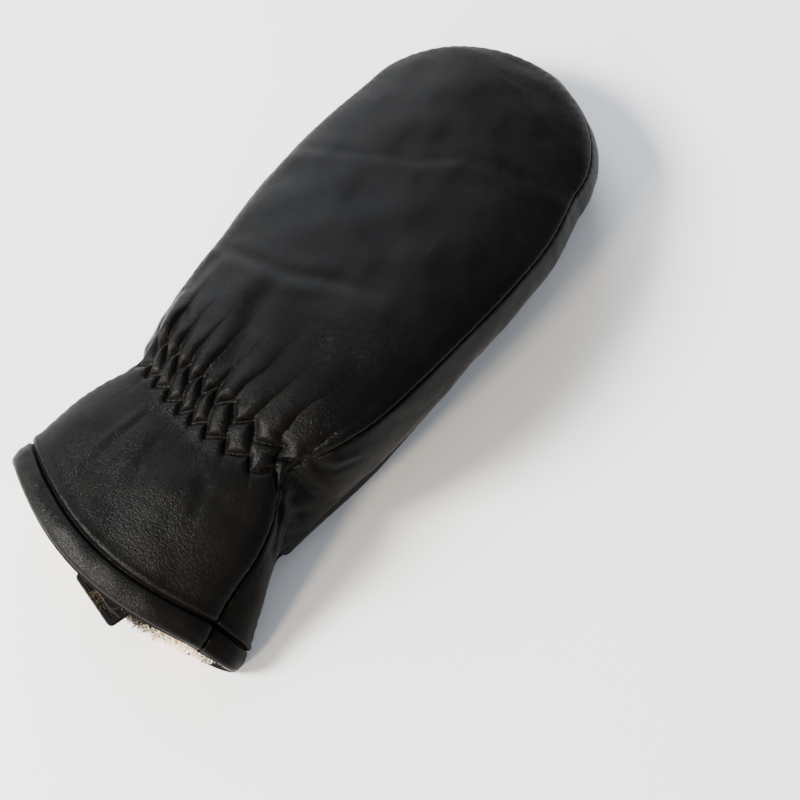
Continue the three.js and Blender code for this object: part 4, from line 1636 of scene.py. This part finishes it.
@dataclass
class CuffTab:
    """The tape tab in the cuff's mouth and the patch of hooks on it. Sizes in millimetres."""

    width: float = 24.0
    length: float = 38.0
    thick: float = 1.8
    corner: float = 2.0
    border: float = 3.3
    border_rise: float = 0.35
    groove: float = 0.12
    edge_round: float = 0.4
    place: Triple = (-1.0, -3.4, 15.0)
    turn: float = math.radians(-18.5)
    slope: float = math.radians(5)
    patch_width: float = 17.4
    patch_length: float = 20.0
    patch_thick: float = 0.6
    patch_corner: float = 1.0
    hook_pitch: float = 1.25
    hook_radius: float = 0.13
    hook_rise: tuple[float, ...] = (-0.1, 0.45, 0.85, 1.0, 0.85, 0.62)
    hook_lean: tuple[float, ...] = (0.0, 0.0, 0.12, 0.36, 0.58, 0.6)
    hook_margins: Pair = (0.8, 0.6)
    hook_scatter: float = 0.08
    hook_sides: int = 5
    wool_count: int = 130
    wool_lengths: Pair = (2.5, 8.0)
    wool_curve: float = 1.9
    wool_sides: int = 3
    wool_radius: float = 0.05
    wool_taper: tuple[float, ...] = (0.6, 1, 1, 1, 1, 0.9, 0.7, 0.4)

    def seated(self, points: Array) -> Array:
        """Moves the tab's own points to their place, in the frame."""
        turn = Matrix.Rotation(self.turn, 3, "Z") @ Matrix.Rotation(self.slope, 3, "X")
        return set_down(points @ np.array(turn).T + np.array(self.place))

    def slab(self, width: float, length: float, corner: float, start: float, low: float,
             high: float, count: int) -> tuple[Array, Array]:
        """Works out a flat piece with two rounded corners.

        Args:
            width: Its width.
            length: Its length.
            corner: Its corners' radius.
            start: Where it starts along the tab.
            low: The height of its underside.
            high: The height of its top.
            count: How many places across.

        Returns:
            The top's points and the underside's.
        """
        run = steps((0, corner, corner / 6), (corner, length, length / (2 * count)))
        y, t = grid_of(run, edge_wise(count))
        half = width / 2 - corner * rounded(1 - y / corner)
        rim = np.clip(np.minimum((1 - np.abs(t)) * half, y) / 0.5, 0, 1)
        edge = self.edge_round * rounded(1 - rim)
        return (np.stack([t * half, y + start, high - edge], axis=-1),
                np.stack([t * half, y + start, low + edge], axis=-1))

    def tape(self) -> Piece:
        """Builds the tape with its folded border.

        Returns:
            The piece, not yet dressed.
        """
        top, under = self.slab(self.width, self.length, self.corner, 0.0, 0.0,
                               self.thick - self.border_rise, 60)
        inside = np.minimum(self.width / 2 - np.abs(top[..., 0]), top[..., 1])
        top[..., 2] += self.border_rise / (1 + np.exp((inside - self.border) / 0.4))
        top[..., 2] -= self.groove * bell(inside - self.border * 0.78, 0.28)
        skin = Skin()
        skin.wall(self.seated(top), self.seated(under))
        return skin.mesh("cuff_tab_tape")

    def hooks(self) -> Piece:
        """Builds the patch of hooks, which bend to one side and the other in turn.

        Returns:
            The piece, not yet dressed.
        """
        base = self.thick - self.border_rise
        top, under = self.slab(self.patch_width, self.patch_length, self.patch_corner, self.border,
                               base + 0.05, base + self.patch_thick, 24)
        skin = Skin()
        skin.wall(self.seated(top), self.seated(under))
        first, last = self.hook_margins
        across = np.arange(-self.patch_width / 2 + first, self.patch_width / 2 - last, self.hook_pitch)
        along = np.arange(self.border + first, self.border + self.patch_length - last, self.hook_pitch)
        x, y = (grid.reshape(-1, 1) for grid in np.meshgrid(across, along))
        rng = np.random.default_rng(51)
        x = x + rng.normal(scale=self.hook_scatter, size=x.shape)
        y = y + rng.normal(scale=self.hook_scatter, size=y.shape)
        bend = np.where(np.arange(len(x)) % 2 == 0, 1.0, -1.0)[:, None]
        rise = base + self.patch_thick + np.array(self.hook_rise)
        paths = np.stack(np.broadcast_arrays(x + bend * np.array(self.hook_lean), y, rise), axis=-1)
        tubes(skin, self.seated(paths), np.full(paths.shape[:2], self.hook_radius * MM), self.hook_sides)
        return skin.mesh("hook_patch_hooks")

    def caught_wool(self) -> Piece:
        """Builds the wool that the hooks hold.

        Returns:
            The piece, not yet dressed.
        """
        rng = np.random.default_rng(57)
        count = self.wool_count
        half = self.patch_width / 2
        x = rng.normal(scale=half * 0.5, size=count).clip(-half, half)[:, None]
        y = (self.border + self.patch_length * rng.random(count) ** 1.1)[:, None]
        heading = rng.uniform(0, 2 * np.pi, count)[:, None]
        curve = rng.normal(scale=self.wool_curve, size=count)[:, None]
        parts = len(self.wool_taper)
        step = (rng.uniform(*self.wool_lengths, count) / parts)[:, None]
        share = np.linspace(0, 1, parts)
        angle = heading + curve * share
        x = x + np.cumsum(np.cos(angle) * step, axis=1)
        y = y + np.cumsum(np.sin(angle) * step, axis=1)
        z = self.thick + 1.0 + 0.5 * np.sin(np.pi * share) + rng.uniform(-0.3, 0.6, count)[:, None]
        radii = np.broadcast_to(self.wool_radius * np.array(self.wool_taper), x.shape)
        skin = Skin()
        tubes(skin, self.seated(np.stack([x, y, z], axis=-1)), radii * MM, self.wool_sides)
        return skin.mesh("hook_patch_wool")

    def build(self, tape: Material, hooks: Material, caught: Material) -> list[Piece]:
        """Builds the tab and dresses it.

        Args:
            tape: The tape's material.
            hooks: The hooks' material.
            caught: The caught wool's material.

        Returns:
            The tape, the patch of hooks and the wool that it caught.
        """
        return [dress(self.tape(), tape, "tab_webbing", "cuff_tab"),
                dress(self.hooks(), hooks, "hook_patch", "tab_patch"),
                dress(self.caught_wool(), caught, "hook_patch")]


FLOAT = "NodeSocketFloat"
VECTOR = "NodeSocketVector"

# The mix node's colour sockets, which stand after its sockets for numbers and vectors
FIRST_COLOUR = 6
SECOND_COLOUR = 7
MIXED_COLOUR = 2


class NodeWork:
    """Adds and joins the nodes of one material or group."""

    def __init__(self, tree: NodeTree) -> None:
        """Keeps the tree that it works on."""
        self.tree = tree

    def node(self, kind: str, settings: dict | None = None, **inputs: object) -> Node:
        """Adds a node.

        Args:
            kind: The node's type.
            settings: Its own settings.
            inputs: Its inputs, as for settle.

        Returns:
            The node.
        """
        made = self.tree.nodes.new(kind)
        for name, value in (settings or {}).items():
            setattr(made, name, value)
        self.settle(made, **inputs)
        return made

    def settle(self, node: Node, **inputs: object) -> None:
        """Joins or sets a node's inputs.

        Args:
            node: The node.
            inputs: Each input by name, with _ for a space, or by i and its number; a socket is joined and
                a value is set.
        """
        for name, value in inputs.items():
            numbered = name[0] == "i" and name[1:].isdigit()
            self.put(value, node.inputs[int(name[1:]) if numbered else name.replace("_", " ")])

    def put(self, value: object, target: Socket) -> None:
        """Joins a socket to an input, or sets its value.

        Args:
            value: The socket or the value.
            target: The input.
        """
        if isinstance(value, Socket):
            self.tree.links.new(value, target)
        else:
            target.default_value = value

    def math(self, operation: str, first: object, second: object = 0.0) -> Socket:
        """Adds a sum and returns its result."""
        return self.node("ShaderNodeMath", {"operation": operation}, i0=first, i1=second).outputs[0]

    def times(self, first: object, second: object) -> Socket:
        """Adds a product and returns its result."""
        return self.math("MULTIPLY", first, second)

    def sum(self, *terms: object) -> Socket:
        """Adds up values in turn and returns their sum."""
        return functools.reduce(functools.partial(self.math, "ADD"), terms)

    def mix(self, share: object, first: object, second: object) -> Socket:
        """Adds a mix of two colours.

        Args:
            share: The second colour's share.
            first: The first colour.
            second: The second colour.

        Returns:
            The mixed colour.
        """
        made = self.node("ShaderNodeMix", {"data_type": "RGBA"}, Factor=share)
        self.put(first, made.inputs[FIRST_COLOUR])
        self.put(second, made.inputs[SECOND_COLOUR])
        return made.outputs[MIXED_COLOUR]

    def place(self) -> Socket:
        """Adds the place on the piece and returns it."""
        return self.node("ShaderNodeTexCoord").outputs["Object"]

    def stored(self, name: str) -> Socket:
        """Adds a number that the piece's points hold and returns it."""
        return self.node("ShaderNodeAttribute", {"attribute_name": name}).outputs["Fac"]

    def noise(self, place: object, scale: float, detail: float = 2.0, roughness: float = 0.5) -> Socket:
        """Adds soft noise and returns its strength."""
        return self.node("ShaderNodeTexNoise", Vector=place, Scale=scale, Detail=detail,
                         Roughness=roughness).outputs["Fac"]

    def cells(self, place: object, scale: object) -> Socket:
        """Adds round cells and returns the distance to their edges."""
        return self.node("ShaderNodeTexVoronoi", {"feature": "DISTANCE_TO_EDGE"}, Vector=place,
                         Scale=scale, Randomness=1.0).outputs["Distance"]

    def bands(self, place: object, way: str, scale: float, distortion: float) -> Socket:
        """Adds straight bands across one way and returns their strength."""
        return self.node("ShaderNodeTexWave", {"wave_type": "BANDS", "bands_direction": way}, Vector=place,
                         Scale=scale, Distortion=distortion).outputs["Fac"]

    def bump(self, height: object, strength: float, distance: float) -> Socket:
        """Adds a bump and returns its normal."""
        return self.node("ShaderNodeBump", Strength=strength, Distance=distance,
                         Height=height).outputs["Normal"]


def group_of(name: str, takes: dict[str, str], gives: dict[str, str]) -> tuple[NodeWork, dict, dict]:
    """Makes an empty node group.

    Args:
        name: The group's name.
        takes: Its inputs' names and socket types.
        gives: Its outputs' names and socket types.

    Returns:
        What adds its nodes, its input sockets and its output sockets, by name.
    """
    tree = bpy.data.node_groups.new(name, "ShaderNodeTree")
    for label, kind in takes.items():
        tree.interface.new_socket(label, in_out="INPUT", socket_type=kind)
    for label, kind in gives.items():
        tree.interface.new_socket(label, in_out="OUTPUT", socket_type=kind)
    work = NodeWork(tree)
    start = work.node("NodeGroupInput")
    end = work.node("NodeGroupOutput")
    return work, {s.name: s for s in start.outputs if s.name}, {s.name: s for s in end.inputs if s.name}


def leather_grain() -> NodeTree:
    """Makes the leather's grain: its pebbles, pores and fine wrinkles.

    Returns:
        The node group, which gives a tone, a roughness and a height.
    """
    work, takes, gives = group_of(
        "leather_grain",
        {"Place": VECTOR, "Pebbles": FLOAT, "Wrinkles": FLOAT, "Sheen": FLOAT},
        {"Tone": FLOAT, "Roughness": FLOAT, "Height": FLOAT})
    place = takes["Place"]
    drift = work.node("ShaderNodeTexNoise", Vector=place, Scale=260.0, Detail=2.0).outputs["Color"]
    bent = work.node("ShaderNodeVectorMath", {"operation": "MULTIPLY_ADD"}, i0=drift,
                     i1=(0.0022, 0.0022, 0.0022), i2=place).outputs[0]
    drawn = work.node("ShaderNodeMapping", Vector=bent, Scale=(300.0, 760.0, 600.0)).outputs[0]
    mottle = work.noise(place, 24.0, 4.0, 0.6)
    patches = work.noise(place, 70.0, 3.0)
    pebbles = work.times(work.math("MINIMUM", work.cells(place, takes["Pebbles"]), 0.22), 1.5)
    pores = work.times(work.noise(place, 3600.0), 0.12)
    lines = work.times(work.math("ABSOLUTE", work.math("SUBTRACT", work.noise(drawn, 1.7), 0.5)), 2.0)
    crepe = work.sum(work.times(work.math("MINIMUM", work.cells(drawn, 1.0), 0.2), 3.2),
                     work.math("MINIMUM", lines, 0.3))
    patchy = work.math("MAXIMUM", work.math("SUBTRACT", patches, 0.5), 0.0)
    crepe_share = work.sum(work.times(takes["Wrinkles"], 0.65), work.times(patchy, 0.6))
    work.put(mottle, gives["Tone"])
    work.put(work.sum(takes["Sheen"], work.times(mottle, 0.1), work.times(patches, 0.06)), gives["Roughness"])
    work.put(work.sum(pebbles, pores, work.times(crepe, crepe_share)), gives["Height"])
    return work.tree


def new_material(name: str) -> tuple[Material, NodeWork, Node]:
    """Makes a material.

    Args:
        name: Its name.

    Returns:
        The material, what adds its nodes, and its shader.
    """
    material = bpy.data.materials.new(name)
    material.use_nodes = True
    return material, NodeWork(material.node_tree), material.node_tree.nodes["Principled BSDF"]


@dataclass(frozen=True)
class Leather:
    """Soft black leather with a satin surface."""

    name: str = "black_leather"
    dark: Colour = (0.0010, 0.0010, 0.0012, 1.0)
    worn: Colour = (0.0050, 0.0044, 0.0032, 1.0)
    pebbles: float = 1500.0
    sheen: float = 0.23
    gloss: float = 0.055

    def material(self, grain: NodeTree) -> Material:
        """Makes the material.

        Args:
            grain: The leather's grain.

        Returns:
            The material.
        """
        material, work, shader = new_material(self.name)
        grained = work.node("ShaderNodeGroup", {"node_tree": grain}, Place=work.place(),
                            Pebbles=self.pebbles, Wrinkles=work.stored("fine_wrinkles"), Sheen=self.sheen)
        tone = work.times(grained.outputs["Tone"], grained.outputs["Tone"])
        work.settle(shader, Base_Color=work.mix(tone, self.dark, self.worn),
                    Roughness=grained.outputs["Roughness"],
                    Normal=work.bump(grained.outputs["Height"], 0.8, 0.00017),
                    Specular_IOR_Level=self.gloss)
        return material


@dataclass(frozen=True)
class Wool:
    """Shorn sheep's wool, cream, lighter at the tips, with some locks and clumps mixed towards tan."""

    name: str = "sheepskin_fur"
    root: Colour = (0.90, 0.76, 0.60, 1.0)
    tip: Colour = (0.97, 0.87, 0.74, 1.0)
    tan: Colour = (0.74, 0.56, 0.38, 1.0)
    # Nearly black: the leather's dye at the mouth, and painted shade from the hem by the tab
    dyed_and_shaded: Colour = (0.020, 0.016, 0.013, 1.0)
    roughness: float = 0.92
    gloss: float = 0.2
    sheen: float = 0.4

    def material(self) -> Material:
        """Makes the material.

        Returns:
            The material.
        """
        material, work, shader = new_material(self.name)
        place = work.place()
        cream = work.mix(work.stored("up_the_pile"), self.root, self.tip)
        clumps = work.noise(place, 85.0)
        shade = work.sum(work.times(work.stored("lock_tone"), 0.14), work.times(clumps, 0.3))
        # Painted shade: the wool by the tab is darkened as if the hem shaded it, on top of the dye at the mouth
        dye_and_shade = work.math("MINIMUM", work.times(work.stored("near_mouth"), 1.3), 0.95)
        curls = work.noise(place, 900.0, 3.0)
        work.settle(shader, Base_Color=work.mix(dye_and_shade, work.mix(shade, cream, self.tan), self.dyed_and_shaded),
                    Normal=work.bump(curls, 0.7, 0.0006), Roughness=self.roughness,
                    Specular_IOR_Level=self.gloss, Sheen_Weight=self.sheen)
        return material


@dataclass(frozen=True)
class Tape:
    """Black woven tape."""

    name: str = "tab_webbing"
    dark: Colour = (0.0008, 0.0008, 0.0010, 1.0)
    light: Colour = (0.0035, 0.0035, 0.004, 1.0)
    turn: float = math.radians(19)
    gloss: float = 0.06

    def material(self) -> Material:
        """Makes the material.

        Returns:
            The material.
        """
        material, work, shader = new_material(self.name)
        turned = work.node("ShaderNodeMapping", Vector=work.place(),
                           Rotation=(0.0, 0.0, self.turn)).outputs[0]
        weave = work.times(work.bands(turned, "X", 520.0, 0.4), work.bands(turned, "Y", 390.0, 0.6))
        work.settle(shader, Base_Color=work.mix(weave, self.dark, self.light),
                    Roughness=work.sum(work.times(weave, -0.15), 0.55),
                    Normal=work.bump(weave, 0.6, 0.0002), Specular_IOR_Level=self.gloss)
        return material


@dataclass(frozen=True)
class Yarn:
    """Thread, hooks or loose wool: one colour, a little uneven."""

    name: str
    dark: Colour
    light: Colour
    roughness: float
    scale: float = 1500.0
    gloss: float = 0.08

    def material(self) -> Material:
        """Makes the material.

        Returns:
            The material.
        """
        material, work, shader = new_material(self.name)
        uneven = work.noise(work.place(), self.scale)
        work.settle(shader, Base_Color=work.mix(uneven, self.dark, self.light),
                    Normal=work.bump(uneven, 0.4, 0.0001), Roughness=self.roughness,
                    Specular_IOR_Level=self.gloss)
        return material


BLACK_THREAD = Yarn("black_thread", (0.0010, 0.0010, 0.0012, 1.0), (0.004, 0.004, 0.0043, 1.0), 0.75)
HOOKS = Yarn("hook_patch", (0.0015, 0.0015, 0.0015, 1.0), (0.006, 0.005, 0.0045, 1.0), 0.5)
# The caught wool's brown is darkened further as painted shade, standing for the shade under the hem
CAUGHT_WOOL = Yarn("caught_wool", (0.05, 0.032, 0.018, 1.0), (0.18, 0.12, 0.075, 1.0), 0.85)


@dataclass(frozen=True)
class Paper:
    """Plain pale paper."""

    name: str = "pale_paper"
    dark: Colour = (0.87, 0.88, 0.90, 1.0)
    light: Colour = (0.90, 0.905, 0.915, 1.0)
    roughness: float = 0.7
    gloss: float = 0.25

    def material(self) -> Material:
        """Makes the material.

        Returns:
            The material.
        """
        material, work, shader = new_material(self.name)
        fibre = work.noise(work.place(), 9.0, 3.0)
        work.settle(shader, Base_Color=work.mix(fibre, self.dark, self.light), Roughness=self.roughness,
                    Specular_IOR_Level=self.gloss)
        return material


@dataclass(frozen=True)
class Lamp:
    """A soft square light. Its way from the mitten is right, up and towards the camera in the picture."""

    name: str
    way: Triple
    distance: float
    size: float
    power: float
    colour: Triple


@dataclass
class Studio:
    """The floor, the light and the camera. Sizes in metres, powers in watts."""

    target: Vector = field(default_factory=lambda: Vector((0.0, 0.0, 0.02)))
    eye: Vector = field(default_factory=lambda: Vector((0.2293, -0.2675, 0.6410)))
    azimuth: float = math.radians(36)
    elevation: float = math.radians(63)
    focal_pixels: float = 1880.0
    image_pixels: float = 800.0
    sensor: float = 36.0
    near: float = 0.01
    floor_size: float = 6.0
    sky: Colour = (0.88, 0.93, 1.0, 1.0)
    sky_strength: float = 0.66
    lamps: tuple[Lamp, ...] = (
        Lamp("window", (-0.80, 0.12, 0.58), 2.4, 0.8, 260.0, (1.0, 0.97, 0.92)),
        Lamp("far_wall", (-0.31, 0.95, 0.02), 2.6, 2.0, 100.0, (0.88, 0.93, 1.0)),
        Lamp("warm_lamp", (-0.55, -0.45, 0.7), 1.6, 0.2, 24.0, (1.0, 0.82, 0.56)),
    )

    def axes(self) -> tuple[Vector, Vector, Vector]:
        """Works out the picture's own directions.

        Returns:
            The ways right, up and back, out of the picture.
        """
        back = Vector((math.sin(self.azimuth) * math.cos(self.elevation),
                       -math.cos(self.azimuth) * math.cos(self.elevation), math.sin(self.elevation)))
        right = Vector((math.cos(self.azimuth), math.sin(self.azimuth), 0.0))
        return right, back.cross(right), back

    def floor(self) -> None:
        """Lays the plain pale floor."""
        ends = np.array([-0.5, 0.5]) * self.floor_size
        y, x = grid_of(ends, ends)
        skin = Skin()
        skin.quads(skin.add(np.stack([x, y, 0 * x], axis=-1)))
        floor = skin.mesh("floor", smooth=False)
        floor.data.materials.append(Paper().material())

    def lights(self) -> None:
        """Hangs the lamps, which face the mitten, and sets the room's own light."""
        right, up, back = self.axes()
        for lamp in self.lamps:
            data = bpy.data.lights.new(lamp.name, "AREA")
            data.size = lamp.size
            data.energy = lamp.power
            data.color = lamp.colour
            hung = linked(lamp.name, data)
            direction = (right * lamp.way[0] + up * lamp.way[1] + back * lamp.way[2]).normalized()
            hung.location = self.target + direction * lamp.distance
            hung.rotation_euler = direction.to_track_quat("Z", "Y").to_euler()
        world = bpy.data.worlds.new("room")
        world.use_nodes = True
        sky = world.node_tree.nodes["Background"]
        sky.inputs["Color"].default_value = self.sky
        sky.inputs["Strength"].default_value = self.sky_strength
        bpy.context.scene.world = world

    def camera(self) -> None:
        """Places the camera and makes it the scene's."""
        data = bpy.data.cameras.new("camera")
        data.sensor_width = self.sensor
        data.lens = self.focal_pixels / self.image_pixels * self.sensor
        data.clip_start = self.near
        camera = linked("camera", data)
        turn = Matrix(self.axes()).transposed().to_4x4()
        camera.matrix_world = Matrix.Translation(self.eye) @ turn
        bpy.context.scene.camera = camera


def main() -> None:
    """Builds the mitten's pieces in order, reports each, and sets up the room."""
    logging.basicConfig(level=logging.INFO, format="%(message)s")
    form = MittenForm()
    hem = Hem()
    leather = Leather().material(leather_grain())
    thread = BLACK_THREAD.material()
    wool = Wool().material()

    back = BackPanel(form, hem)
    palm = PalmPanel(form, hem)
    thumb = Thumb()
    pieces = [back.build(leather), palm.build(leather), SideStrip(form, hem).build(leather)]
    pieces += thumb.build(palm.sheet, leather)
    pieces += Stitching().build(back, palm, thread)
    pieces += Sheepskin(form, hem).build(thumb, wool)
    pieces += CuffTab().build(Tape().material(), HOOKS.material(), CAUGHT_WOOL.material())
    for piece in pieces:
        log.info("%s: %d faces", piece.name, len(piece.data.polygons))

    studio = Studio()
    studio.floor()
    studio.lights()
    studio.camera()


if __name__ == "__main__":
    main()
